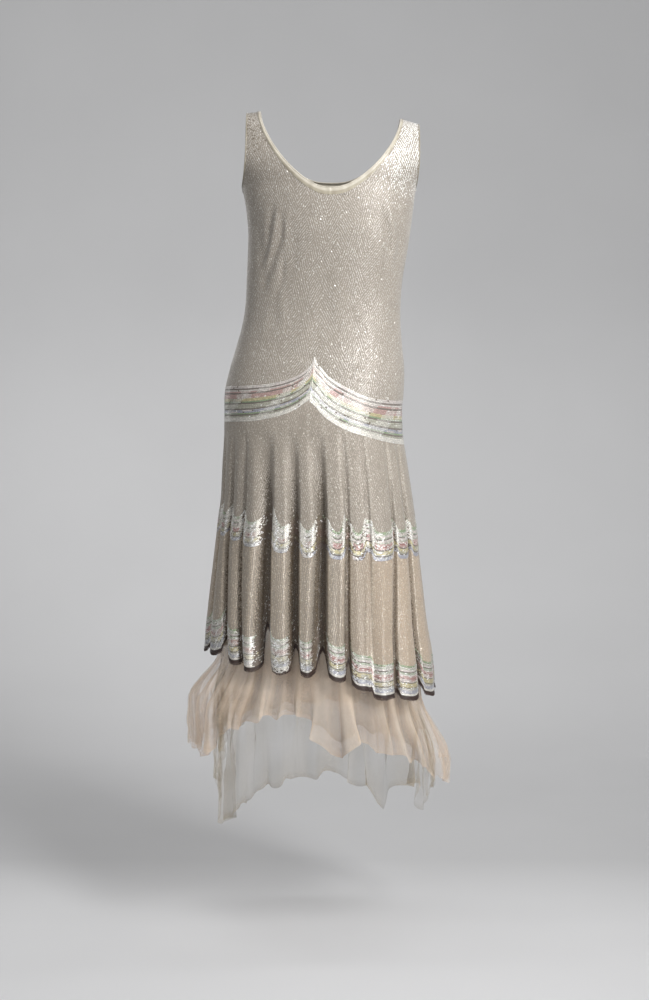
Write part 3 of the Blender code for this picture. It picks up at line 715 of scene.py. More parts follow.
# ------------------------------------------------------------------ materials
def new_material(name, colour, roughness, metallic=0.0, coat=0.0, sheen=0.0, ior=1.5):
    m = bpy.data.materials.new(name)
    m.use_nodes = True
    tree = m.node_tree
    shader = tree.nodes["Principled BSDF"]
    shader.inputs["Base Color"].default_value = (*colour, 1)
    shader.inputs["Roughness"].default_value = roughness
    shader.inputs["Metallic"].default_value = metallic
    shader.inputs["Coat Weight"].default_value = coat
    shader.inputs["Coat Roughness"].default_value = 0.08
    shader.inputs["Sheen Weight"].default_value = sheen
    shader.inputs["IOR"].default_value = ior
    return m, tree, shader


def node(tree, kind, **values):
    n = tree.nodes.new(kind)
    for key, value in values.items():
        if key in n.inputs:
            n.inputs[key].default_value = value
        else:
            setattr(n, key, value)
    return n


def object_place(tree, scale=(1, 1, 1)):
    coordinates = node(tree, "ShaderNodeTexCoord")
    mapping = node(tree, "ShaderNodeMapping")
    mapping.inputs["Scale"].default_value = scale
    tree.links.new(coordinates.outputs["Object"], mapping.inputs["Vector"])
    return mapping.outputs["Vector"]


def vary(tree, shader, colours, scale, place, low=0.3, high=0.7, detail=2.0):
    """Base colour from noise between two or three colours."""
    noise = node(tree, "ShaderNodeTexNoise", Scale=scale, Detail=detail)
    ramp = node(tree, "ShaderNodeValToRGB")
    ramp.color_ramp.elements[0].position = low
    ramp.color_ramp.elements[1].position = high
    ramp.color_ramp.elements[0].color = (*colours[0], 1)
    ramp.color_ramp.elements[1].color = (*colours[-1], 1)
    if len(colours) == 3:
        middle = ramp.color_ramp.elements.new((low + high) / 2)
        middle.color = (*colours[1], 1)
    tree.links.new(place, noise.inputs["Vector"])
    tree.links.new(noise.outputs["Fac"], ramp.inputs["Fac"])
    tree.links.new(ramp.outputs["Color"], shader.inputs["Base Color"])
    return noise, ramp


def bead_material(name, colour, metallic, roughness, spread=0.22, coat=0.4):
    m, tree, shader = new_material(name, colour, roughness, metallic, coat)
    dark = tuple(c * (1 - spread) for c in colour)
    light = tuple(min(1.0, c * (1 + spread)) for c in colour)
    vary(tree, shader, (dark, light), 420.0, object_place(tree), 0.35, 0.65, 0.0)
    return m


def net_material(name, ground, fold, thread):
    """Nude net: cells of fine thread, with painted shade: a dark warm brown where it lies in the folds."""
    m, tree, shader = new_material(name, ground, 0.62, sheen=0.25)
    place = object_place(tree)
    cells = node(tree, "ShaderNodeTexVoronoi", feature="DISTANCE_TO_EDGE", Scale=620.0)
    tree.links.new(place, cells.inputs["Vector"])
    lines = node(tree, "ShaderNodeMapRange")
    lines.inputs["From Min"].default_value = 0.02
    lines.inputs["From Max"].default_value = 0.16
    tree.links.new(cells.outputs["Distance"], lines.inputs["Value"])
    noise = node(tree, "ShaderNodeTexNoise", Scale=38.0, Detail=4.0)
    tree.links.new(place, noise.inputs["Vector"])
    tone = node(tree, "ShaderNodeMix", data_type="RGBA")
    tone.inputs["A"].default_value = (*[c * 0.82 for c in ground], 1)
    tone.inputs["B"].default_value = (*[c * 1.15 for c in ground], 1)
    tree.links.new(noise.outputs["Fac"], tone.inputs["Factor"])
    under = node(tree, "ShaderNodeAttribute", attribute_name="peach")
    skin = node(tree, "ShaderNodeMix", data_type="RGBA")
    skin.inputs["B"].default_value = (0.46, 0.34, 0.235, 1)
    tree.links.new(under.outputs["Fac"], skin.inputs["Factor"])
    tree.links.new(tone.outputs["Result"], skin.inputs["A"])
    # painted shade: the ground mixes toward the dark fold colour by the "fold" attribute
    deep = node(tree, "ShaderNodeAttribute", attribute_name="fold")
    fold_shade_mix = node(tree, "ShaderNodeMix", data_type="RGBA")
    fold_shade_mix.inputs["B"].default_value = (*fold, 1)
    tree.links.new(deep.outputs["Fac"], fold_shade_mix.inputs["Factor"])
    tree.links.new(skin.outputs["Result"], fold_shade_mix.inputs["A"])
    thready = node(tree, "ShaderNodeMix", data_type="RGBA")
    thready.inputs["A"].default_value = (*thread, 1)
    tree.links.new(lines.outputs["Result"], thready.inputs["Factor"])
    tree.links.new(fold_shade_mix.outputs["Result"], thready.inputs["B"])
    tree.links.new(thready.outputs["Result"], shader.inputs["Base Color"])
    bump = node(tree, "ShaderNodeBump", Strength=0.5, Distance=0.0006)
    tree.links.new(lines.outputs["Result"], bump.inputs["Height"])
    tree.links.new(bump.outputs["Normal"], shader.inputs["Normal"])
    return m


def satin_material(name, light, dark):
    m, tree, shader = new_material(name, light, 0.34, sheen=0.2, coat=0.15)
    place = object_place(tree)
    vary(tree, shader, (dark, light), 60.0, place, 0.25, 0.6, 3.0)
    weave = node(tree, "ShaderNodeTexWave", Scale=900.0, Distortion=1.5)
    weave.bands_direction = "DIAGONAL"
    tree.links.new(place, weave.inputs["Vector"])
    bump = node(tree, "ShaderNodeBump", Strength=0.25, Distance=0.0002)
    tree.links.new(weave.outputs["Fac"], bump.inputs["Height"])
    tree.links.new(bump.outputs["Normal"], shader.inputs["Normal"])
    return m


def tulle_material(name, valley_shade, ridge_light, body, rim):
    """Fine see-through net with painted light and shade: lighter on the ridges of its folds, darker in their valleys,
    and denser where it is gathered.
    """
    m = bpy.data.materials.new(name)
    m.use_nodes = True
    tree = m.node_tree
    tree.nodes.remove(tree.nodes["Principled BSDF"])
    out = tree.nodes["Material Output"]
    place = object_place(tree)
    noise = node(tree, "ShaderNodeTexNoise", Scale=24.0, Detail=3.0)
    tree.links.new(place, noise.inputs["Vector"])
    level = node(tree, "ShaderNodeAttribute", attribute_name="ridge_light")
    uneven = node(tree, "ShaderNodeMath", operation="MULTIPLY_ADD")
    uneven.inputs[1].default_value = 0.7
    tree.links.new(noise.outputs["Fac"], uneven.inputs[0])
    tree.links.new(level.outputs["Fac"], uneven.inputs[2])
    ramp = node(tree, "ShaderNodeValToRGB")
    ramp.color_ramp.elements[0].position = 0.25
    ramp.color_ramp.elements[1].position = 1.0
    ramp.color_ramp.elements[0].color = (*valley_shade, 1)
    ramp.color_ramp.elements[1].color = (*ridge_light, 1)
    tree.links.new(uneven.outputs[0], ramp.inputs["Fac"])
    diffuse = node(tree, "ShaderNodeBsdfDiffuse", Roughness=0.6)
    through = node(tree, "ShaderNodeBsdfTranslucent")
    both = node(tree, "ShaderNodeMixShader", Fac=0.28)
    clear = node(tree, "ShaderNodeBsdfTransparent")
    for target in (diffuse, through):
        tree.links.new(ramp.outputs["Color"], target.inputs["Color"])
    tree.links.new(diffuse.outputs[0], both.inputs[1])
    tree.links.new(through.outputs[0], both.inputs[2])
    dense = node(tree, "ShaderNodeAttribute", attribute_name="dense")
    cells = node(tree, "ShaderNodeTexVoronoi", feature="DISTANCE_TO_EDGE", Scale=700.0)
    tree.links.new(place, cells.inputs["Vector"])
    mesh = node(tree, "ShaderNodeMapRange")
    mesh.inputs["From Min"].default_value = 0.04
    mesh.inputs["From Max"].default_value = 0.2
    mesh.inputs["To Min"].default_value = 1.25
    mesh.inputs["To Max"].default_value = 0.85
    tree.links.new(cells.outputs["Distance"], mesh.inputs["Value"])
    amount = node(tree, "ShaderNodeMapRange")
    amount.inputs["To Min"].default_value = body
    amount.inputs["To Max"].default_value = rim
    tree.links.new(dense.outputs["Fac"], amount.inputs["Value"])
    product = node(tree, "ShaderNodeMath", operation="MULTIPLY", use_clamp=True)
    tree.links.new(amount.outputs["Result"], product.inputs[0])
    tree.links.new(mesh.outputs["Result"], product.inputs[1])
    final = node(tree, "ShaderNodeMixShader")
    tree.links.new(product.outputs[0], final.inputs["Fac"])
    tree.links.new(clear.outputs[0], final.inputs[1])
    tree.links.new(both.outputs[0], final.inputs[2])
    tree.links.new(final.outputs[0], out.inputs["Surface"])
    return m


# painted shade: the second colour is the near-black brown the net ground takes in the skirt's folds
NET = net_material("nude_net", (0.250, 0.217, 0.178), (0.048, 0.034, 0.020), (0.30, 0.262, 0.218))
# tint of the glass on each part of the dress
TINTS = {"bodice": (1.14, 1.14, 1.14), "upper": (0.96, 0.925, 0.88), "lower": (1.00, 0.91, 0.80)}
BEAD_SLOTS = {
    part: [
        bead_material(f"bead_{kind}_{part}", tuple(c * t for c, t in zip(colour, tint)), metallic, rough, 0.16)
        for kind, colour, metallic, rough in (
            ("silver", (0.44, 0.41, 0.37), 0.20, 0.42),
            ("clear", (0.37, 0.34, 0.30), 0.18, 0.40),
            # painted shade: this dark slot is used only where the folds or the left strap are shaded
            ("painted_shade", (0.12, 0.095, 0.066), 0.10, 0.42),
            ("bright", (0.56, 0.54, 0.50), 0.30, 0.34),
            # painted highlight: this white slot is used only on the back's lit right shoulder
            ("white", (0.78, 0.765, 0.73), 0.15, 0.38),
        )
    ]
    for part, tint in TINTS.items()
}
STRIPE = {
    "m": ("mint", (0.38, 0.42, 0.33)),
    "w": ("pink_white", (0.58, 0.53, 0.50)),
    "r": ("dusty_rose", (0.47, 0.325, 0.295)),
    "p": ("deep_rose", (0.34, 0.165, 0.155)),
    "y": ("pale_yellow", (0.50, 0.445, 0.27)),
    "g": ("leaf_green", (0.28, 0.345, 0.22)),
    "l": ("lavender", (0.38, 0.385, 0.43)),
    "b": ("mint_beige", (0.41, 0.40, 0.33)),
    "c": ("cream", (0.66, 0.635, 0.58)),
    "d": ("dark_line", (0.19, 0.165, 0.14)),
    "k": ("hem_brown", (0.040, 0.020, 0.015)),
    "s": ("sparkle_white", (0.86, 0.85, 0.83)),
    "o": ("shaded", (0.14, 0.105, 0.075)),
}
# paler twins of the colours: painted highlights, for where the light lies on the glass
for pale_key in "mwrpyglbd":
    pale_name, pale_colour = STRIPE[pale_key]
    STRIPE[pale_key.upper()] = ("pale_" + pale_name, tuple(c * 0.40 + t * 0.60 for c, t in zip(pale_colour, (0.70, 0.68, 0.63))))
KEYS = list(STRIPE)
STRIPE_BEADS = [bead_material("bead_" + STRIPE[k][0], STRIPE[k][1], 0.0, 0.45, 0.20, 0.15) if k in "dko" else
                bead_material("bead_" + STRIPE[k][0], STRIPE[k][1], 0.25, 0.32, 0.20, 0.5) for k in KEYS]
# painted shade: each band's ground also turns dark brown in the folds
STRIPE_THREAD = [
    net_material("ground_" + STRIPE[k][0], tuple(c * 0.62 for c in STRIPE[k][1]), (0.085, 0.045, 0.022),
                 tuple(c * 0.68 for c in STRIPE[k][1]))
    for k in KEYS
]
SATIN = satin_material("binding_satin", (0.52, 0.48, 0.40), (0.40, 0.36, 0.29))
SATIN_TAN = satin_material("binding_satin_tan", (0.40, 0.36, 0.28), (0.29, 0.25, 0.19))
ROLL = satin_material("armhole_roll", (0.30, 0.27, 0.21), (0.20, 0.175, 0.13))
# painted light and shade: each tulle's darker valley colour and lighter ridge colour
TULLE_SHORT = tulle_material("peach_tulle_body", (0.47, 0.345, 0.25), (0.82, 0.69, 0.56), 0.10, 0.86)
TULLE_LONG = tulle_material("sheer_tulle_body", (0.29, 0.25, 0.18), (0.58, 0.505, 0.39), 0.07, 0.60)

made = {}


def wear(obj, slot, *nodes):
    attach(obj, "root")
    if nodes:
        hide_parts(*nodes)
    return obj


def net_beads(name, cloth, zones, spacing, pitch, tilts, size, shade=None):
    """Beads in rows whose direction changes from strip to strip."""
    lo, hi = cloth.uv.min(0), cloth.uv.max(0)
    cuts = [lo[0] - 0.03]
    while cuts[-1] < hi[0] + 0.03:
        cuts.append(cuts[-1] + rng.uniform(*zones))
    places, turns, rows = [], [], []
    a, b, c = rng.uniform(0, 6.28, 3)
    for m, tilt in enumerate(tilts):
        p, row = flat_lattice(lo, hi, spacing, pitch, tilt)
        wander = (0.40 * zones[1]) * (np.sin(p[:, 1] / 0.041 + a) + 0.7 * np.sin(p[:, 1] / 0.019 + b + p[:, 0] * 30)
                                      + 0.5 * np.sin(p[:, 1] / 0.011 + c))
        mine = np.searchsorted(cuts, p[:, 0] + wander) % len(tilts) == m
        places.append(p[mine])
        rows.append(row[mine] + 1000 * m)
        turns.append(np.full(mine.sum(), math.radians(tilt)))
    at, turn, row = np.vstack(places), np.concatenate(turns), np.concatenate(rows)
    at = at + rng.normal(0, 0.00032, at.shape)
    turn = turn + rng.normal(0, 0.16, len(turn))
    keep, centre, along, normal, fold = cloth.place(at, turn)
    count = len(centre)
    sparkle = rng.random(count) < (0.045 if name.startswith("bodice") else 0.04)
    # painted shade: bright sparkle beads are kept out of the folds
    sparkle &= rng.random(count) > 3 * fold
    lean = rng.normal(0, 1, (count, 3)) * np.where(sparkle, 0.24, 0.06)[:, None]
    normal = normal + lean
    normal -= along * np.sum(normal * along, 1, keepdims=True)
    normal /= np.linalg.norm(normal, axis=1, keepdims=True)
    scale = rng.uniform(0.9, 1.1, count)
    u, v = at[keep].T
    patch = np.sin(u / 0.017 + b + 2 * np.sin(v / 0.031)) + np.sin(v / 0.023 + a + 2 * np.sin(u / 0.012)) + 0.7 * np.sin(v / 0.009 + c)
    slot_of = (rng.random(count) > 0.58 + 0.17 * patch).astype(int)
    # painted shade: bright beads go only outside the folds, and beads deep in the folds take the dark slot
    slot_of[(rng.random(count) < 0.03) & (fold < 0.15)] = 3
    slot_of[sparkle] = 3
    slot_of[rng.random(count) < np.clip(fold * 1.9 - 0.85, 0, 0.97)] = 2
    if name.startswith("bodice_back"):
        # painted highlight: white beads where the right shoulder lies in the light; painted shade: dark beads on the
        # left strap
        lit = smooth((-centre[:, 0] - 0.070) / 0.055) * smooth((centre[:, 2] + 0.17) / 0.09)
        slot_of[rng.random(count) < 0.95 * lit] = 4
        strap_shade = smooth((centre[:, 0] - 0.105) / 0.025) * smooth((centre[:, 2] + 0.07) / 0.05)
        slot_of[rng.random(count) < 0.22 * strap_shade] = 2
    return beads(name, centre, along, normal, size[0] * scale, size[1] * scale, size[2] * scale,
                 BEAD_SLOTS[name.split("_")[0]], slot_of)


# ------------------------------------------------------------------ bodice
COARSE = 1.0

for side in ("back", "front"):
    points, flat, skip, low = bodice_grid(side)
    normal = normals_of(points)
    points = points + normal * crease_height(side, points)[..., None]
    rows, columns = points.shape[:2]
    faces = grid_faces(rows, columns, skip, flip=(side == "back"))
    cloth = Cloth(points, flat, faces)
    body = mesh_from(f"bodice_{side}_net", points.reshape(-1, 3), faces, flat.reshape(-1, 2), [NET],
                     values={"fold": np.zeros(rows * columns), "peach": np.zeros(rows * columns)})
    wear(body, "beaded_net", f"bodice_{side}")
    sparkle = net_beads(f"bodice_{side}_beads", cloth, (0.010, 0.030), 0.0029 * COARSE, 0.0037 * COARSE,
                        (60, -64, 72, -54, 66, -76), (0.0026, 0.0028, 0.0004))
    wear(sparkle, "beaded_net")
    made[f"bodice_{side}"] = (points, low)

# ------------------------------------------------------------------ binding and armholes
for side in ("back", "front"):
    turns = np.linspace(0, 90, 60)
    line = [("left", t) for t in turns] + [("right", t) for t in turns[::-1][1:]]
    across = np.linspace(0, 1, 9)
    grid = np.zeros((len(across), len(line), 3))
    for i, (hand, turn) in enumerate(line):
        for j, g in enumerate(across):
            x, z = scoop(side, hand, turn, 1.12 * (1 - g))
            grid[j, i] = (x, shoulder(side, x, z, STRAP[hand][2] / 1000 * (1 - smooth((turn - 80) / 10))), z)
    normal = normals_of(grid)
    puff = 0.0009 * np.sin(math.pi * np.clip(across, 0, 1)) + 0.0005
    crumple = 0.00035 * np.sin(np.arange(len(line)) * 0.9) * np.sin(np.arange(len(line)) * 0.23 + 1)
    grid = grid + normal * (puff[:, None] + crumple[None, :])[..., None]
    faces = grid_faces(len(across), len(line), flip=(side == "back"))
    slot_of = np.where(np.repeat(across[:-1], len(line) - 1) < 0.5, 1, 0)
    band = mesh_from(f"neck_binding_{side}_satin", grid.reshape(-1, 3), faces, slots=[SATIN, SATIN_TAN], slot_of=slot_of)
    wear(band, "ivory_satin", f"neck_binding_{side}")
    roll = tube(f"neck_roll_{side}", grid[-1] - normal[-1] * 0.0006, 0.0013, SATIN, 10)
    wear(roll, "ivory_satin")

for hand in ("left", "right"):
    for side in ("back", "front"):
        points, low = made[f"bodice_{side}"]
        column = 0 if hand == "left" else -1
        rim = points[low:, column]
        roll = tube(f"armhole_roll_{side}_{hand}", rim, 0.0013, ROLL, 8)
        wear(roll, "beaded_net")

# ------------------------------------------------------------------ skirt
def ring_piece(name, u, top, bottom, rows, node_name, row_keys=None):
    t = np.linspace(0, 1, rows + 1)
    z_top, z_low = edge(u, top), edge(u, bottom)
    z = mix(z_low[None], z_top[None], t[:, None])
    points, deep = skirt(np.broadcast_to(u, z.shape), z)
    middle = len(t) // 2
    steps = np.linalg.norm(np.diff(points[middle], axis=0), axis=1)
    s = np.concatenate([[0], np.cumsum(steps)])
    if row_keys:
        h = np.broadcast_to(t[:, None], z.shape)
    else:
        h = z
    flat = np.stack(np.broadcast_arrays(s[None], h), -1)
    faces = grid_faces(rows + 1, len(u), flip=True)
    return points, flat, faces, deep, s


def peach_of(u):
    """Flutes whose thinner beading lets the peach underskirt show through."""
    table = ((0, 0.75), (0.8, 0.6), (1.2, 0.1), (6.4, 0.0), (7.0, 0.35), (7.6, 0.5), (8.2, 0.8), (9, 0.95), (11, 0.8),
             (12, 0.2), (19, 0.2), (21, 0.75))
    return np.interp(u, [k for k, _ in table], [v for _, v in table])


def skirt_panel(name, u, top, bottom, rows):
    points, flat, faces, deep, s = ring_piece(name, u, top, bottom, rows, name)
    # painted shade: how deep a point lies in a fold, which darkens the net and its beads there
    fold = np.clip((deep - 0.003) / 0.011, 0, 1)
    cloth = Cloth(points, flat, faces, fold)
    peach = np.zeros(deep.shape) if name.startswith("upper") else np.broadcast_to(peach_of(u), deep.shape)
    body = mesh_from(f"{name}_net", points.reshape(-1, 3), faces, flat.reshape(-1, 2), [NET],
                     values={"fold": fold.ravel(), "peach": peach.ravel()})
    wear(body, "beaded_net", name)
    tilts = (70, -66, 76, -72) if name.startswith("upper") else (80, -77, 86, -82)
    sparkle = net_beads(f"{name}_beads", cloth, (0.008, 0.018), 0.0030 * COARSE, 0.0037 * COARSE, tilts,
                        (0.0027, 0.0028, 0.0004))
    wear(sparkle, "beaded_net")
    return body


MILKY = {"r": "w", "y": "b", "l": "w", "m": "b", "p": "r", "g": "m"}
# painted highlight: share of paler and sparkle-white beads on the mid and hem bands
GLINT = {"mid": 0.30, "hem": 0.34}


def pale(name, u):
    """Share of beads painted paler as highlights where the light falls, by place."""
    if name.startswith("hip"):
        return np.interp(hip_angle(u), (0, 40, 86, 92, 120, 145, 180, 360), (0.20, 0.30, 0.40, 0.85, 0.85, 0.45, 0.25, 0.30))
    return GLINT[name[:3]] * np.interp(u, (0, 2.5, 3.5, 4.5, 5.5, 6.5, 7.5, 8.5, 9.5, 11, 14, 21),
                                       (0.8, 1.2, 2.0, 2.2, 1.2, 0.75, 0.35, 1.0, 0.35, 0.5, 1.0, 0.8))


def s_rim(u):
    """How far a column lies from the rim of the nearest groove, in groove half widths."""
    k = np.clip(np.floor(np.asarray(u, float) + 1e-9).astype(int), 0, len(FLUTES) - 1)
    t = u - k
    line = np.where(t < 0.5, k, k + 1)
    return np.abs(np.minimum(t, 1 - t) * np.abs(ALL[k + 1, 1] - ALL[k, 1]) / ALL[line, 3] - 1.25)


def skirt_band(name, u, top, bottom, keys):
    n = len(keys)
    points, flat, faces, deep, s = ring_piece(name, u, top, bottom, n, name, keys)
    slot_of = np.repeat([KEYS.index(k) for k in keys[::-1]], len(u) - 1)
    # painted shade: the band ground darkens by its "fold" value
    body = mesh_from(f"{name}_ground", points.reshape(-1, 3), faces, flat.reshape(-1, 2), STRIPE_THREAD, slot_of,
                     values={"fold": np.clip((deep - 0.002) / 0.011, 0, 1).ravel(), "peach": np.zeros(deep.size)})
    shade = np.clip((deep - 0.003) / 0.011, 0, 1)
    cloth = Cloth(points, flat, faces, shade)
    at, row = [], []
    spacing = 0.0031 * COARSE
    horn = np.exp(-((s_rim(u) / 0.9) ** 2))
    for k in range(n):
        x = np.arange(s[0] + (k % 2) * spacing / 2, s[-1], spacing)
        at.append(np.column_stack([x, np.full(len(x), 1 - (k + 0.5) / n)]))
        key = np.full(len(x), KEYS.index(keys[k]))
        patch = np.sin(x / 0.021 + k // 3 * 1.9) + np.sin(x / 0.0083 + k // 3 * 4.1)
        if keys[k] in MILKY:
            key[patch > 1.05] = KEYS.index(MILKY[keys[k]])
        # partly painted highlight: near each groove's rim the top rows of the mid band turn cream, partly the band's
        # own pale beads
        if name.startswith("mid") and k < 0.6 * n:
            key[np.interp(x, s, horn) > np.interp(np.interp(x, s, u), (5, 7), (0.32, 0.55))] = KEYS.index("c")
        share = pale(name, np.interp(x, s, u))
        twin = np.array([KEYS.index(key_name.upper()) if key_name.upper() in KEYS else m
                         for m, key_name in enumerate(KEYS)])
        # painted highlight: runs of paler beads along the hip band where the light falls
        if name.startswith("hip"):
            run = np.sin(x / 0.016 + k // 3 * 0.9) + 0.7 * np.sin(x / 0.0071 + k * 0.35)
            lit = run > np.interp(share, (0, 1), (1.5, -1.5))
            key[lit] = twin[key[lit]]
        else:
            # painted highlight: streaks of paler and sparkle-white beads down the flutes
            even = np.interp(np.interp(x, s, u), (5, 7), (0.2, 0.95))
            streak = (1 - 0.75 * even) * (np.sin(x / 0.0040 + 1.4 * np.sin(x / 0.019)) + 0.7 * np.sin(x / 0.0015 + k * 0.9))
            streak = streak + rng.normal(0, 0.3 + 0.55 * even, len(x))
            # painted highlight: on flute 4, counted from 0, most dark hem beads turn cream
            hem_highlight = rng.random(len(x)) < 0.8 * (np.abs(np.interp(x, s, u) - 4.5) < 0.42)
            key[hem_highlight & (key == KEYS.index("k"))] = KEYS.index("c")
            edge_row = key == KEYS.index("k")
            lit = (streak > np.interp(1.6 * share, (0, 1), (1.6, -1.6))) & ~edge_row
            key[lit] = twin[key[lit]]
            key[(streak > np.interp(0.34 * share, (0, 1), (1.6, -1.6))) & ~edge_row] = KEYS.index("s")
        row.append(key)
    at, row = np.vstack(at), np.concatenate(row)
    keep, centre, along, normal, groove_shade = cloth.place(at, rng.normal(0, 0.0004, len(at)))
    row = row[keep]
    # painted glints: a few random beads turn sparkle white
    glint = (rng.random(len(row)) < 0.022) & ~np.isin(row, [KEYS.index(k) for k in "dkoD"])
    row[glint] = KEYS.index("s")
    # painted shade: beads deep in the folds, and a few others, turn to the dark shaded colour
    row[(rng.random(len(row)) < np.clip(groove_shade * 1.3 - 0.15, 0.01, 0.93)) & (row != KEYS.index("k"))] = KEYS.index("o")
    tall = np.linalg.norm(points[-1] - points[0], axis=1).mean() / n
    normal = normal + rng.normal(0, 0.10, normal.shape)
    normal -= along * np.sum(normal * along, 1, keepdims=True)
    normal /= np.linalg.norm(normal, axis=1, keepdims=True)
    dark = np.isin(row, [KEYS.index("d"), KEYS.index("D")])
    scale = rng.uniform(0.92, 1.08, len(row))
    sparkle = beads(f"{name}_beads", centre, along, normal, 0.0030 * scale, np.where(dark, 0.7, 0.95) * tall * scale,
                    np.where(dark, 0.0005, 0.0010) * scale, STRIPE_BEADS, row)
    wear(body, "bead_stripes", name)
    wear(sparkle, "bead_stripes")
    return points


u_centre_back, u_centre_front = u_at_hip(SWAG_CENTRE), u_at_hip(360 - SWAG_CENTRE)
U_BACK = flute_columns(0, BACK_FLUTES, (u_centre_back,))
U_FRONT = flute_columns(BACK_FLUTES, len(FLUTES), (u_centre_front,))
N_ALL = len(FLUTES)

hips = {
    "hip_band_back_left": U_BACK[U_BACK <= u_centre_back + 1e-9],
    "hip_band_back_right": U_BACK[U_BACK >= u_centre_back - 1e-9],
    "hip_band_front_right": U_FRONT[U_FRONT <= u_centre_front + 1e-9],
    "hip_band_front_left": U_FRONT[U_FRONT >= u_centre_front - 1e-9],
}
for name, u in hips.items():
    left = name.endswith("left")
    skirt_band(name, u, "hip_top", "hip_bottom", HIP_ROWS)
for side, u in (("back", U_BACK), ("front", U_FRONT)):
    skirt_panel(f"upper_skirt_{side}", u, "hip_bottom", "mid_top", 24)
    skirt_band(f"mid_band_{side}", u, "mid_top", "mid_bottom", MID_ROWS)
    skirt_panel(f"lower_skirt_{side}", u, "mid_bottom", "hem_top", 20)
    rim = skirt_band(f"hem_band_{side}", u, "hem_top", "hem_bottom", HEM_ROWS)
    # picot of dark beads along the hem
    line = rim[0]
    steps = np.linalg.norm(np.diff(line, axis=0), axis=1)
    s = np.concatenate([[0], np.cumsum(steps)])
    at = np.arange(0, s[-1], 0.0026)
    centre = np.stack([np.interp(at, s, line[:, k]) for k in range(3)], -1)
    ahead = np.stack([np.gradient(centre[:, k]) for k in range(3)], -1)
    ahead /= np.linalg.norm(ahead, axis=1, keepdims=True)
    down = np.array([0, 0, -1.0]) - ahead * (-ahead[:, 2:3])
    down /= np.linalg.norm(down, axis=1, keepdims=True)
    out = np.cross(ahead, down)
    out *= np.sign(np.sum(out[:, :2] * centre[:, :2], 1))[:, None]
    reach = (0.0046 - 0.0024 * np.abs(ahead[:, 2])) * (0.85 + 0.25 * np.sin(at / 0.013) * np.sin(at / 0.031 + 1)
                                                      + rng.uniform(-0.15, 0.15, len(at)))
    one = beads(f"hem_picot_{side}_out", centre + down * (reach * 0.38)[:, None], down, out, reach, 0.0022, 0.0014,
                STRIPE_BEADS, np.full(len(at), KEYS.index("k")))
    wear(one, "bead_stripes")


# ------------------------------------------------------------------ tulle
def hem_low(degrees):
    starts = ALL[:, 2]
    middles = (starts[:-1] + starts[1:]) / 2
    ring = np.concatenate([middles - 360, middles, middles + 360])
    lows = np.tile(SC[:, 2], 3)
    return np.interp(degrees, ring, lows) / 1000


T = np.array(TULLE, float)


def room(degrees, column):
    """Deepest groove of the beaded skirt within reach of each angle, in mm."""
    around = np.concatenate([ALL[:-1, 2] - 360, ALL[:-1, 2], ALL[:-1, 2] + 360])
    depth = np.tile(ALL[:-1, column], 3)
    far = np.abs(degrees[:, None] - around[None])
    return (depth[None] - 0.35 * np.clip(far - 12, 0, None)).max(1)




def tulle_value(degrees, column):
    return sum(tulle_point(degrees + step, column) for step in (-2.4, -0.8, 0.8, 2.4)) / 4


def tulle_point(degrees, column):
    d = np.mod(degrees, 360)
    ring = np.concatenate([T[:-1, 0] - 360, T[:-1, 0], T[:, 0] + 360])
    value = np.concatenate([T[:-1, column], T[:-1, column], T[:, column]])
    return np.interp(d, ring, value) / 1000


WAVES = [(w, share, rng.uniform(0, 6.28), rng.uniform(-6, 6), rng.uniform(-1.3, 1.3))
         for w, share in ((7, 0.35), (12, 0.6), (19, 0.85), (27, 1.0), (37, 0.9), (53, 0.5))]


def gathers(degrees, z):
    """Soft folds of the tulle: uneven in width, leaning and wandering with height."""
    turn = np.radians(degrees)
    out = np.zeros(np.broadcast(degrees, z).shape)
    for waves, share, phase, lean, bend in WAVES:
        out = out + share * np.sin(waves * turn + phase + lean * z + bend * np.sin(z * 17 + phase))
    return out / 2.0


# fine gathers: waves a turn, height, lean, start
FINE = ((71, 0.0012, 3.0, 0.3), (97, 0.0010, -4.0, 1.9), (139, 0.0006, 2.0, 4.4))


def lap(degrees):
    """How far the folds lean over to one side."""
    turn = np.radians(degrees)
    return 1.15 * np.sin(5 * turn + 0.7) + 0.7 * np.sin(8 * turn + 2.1)


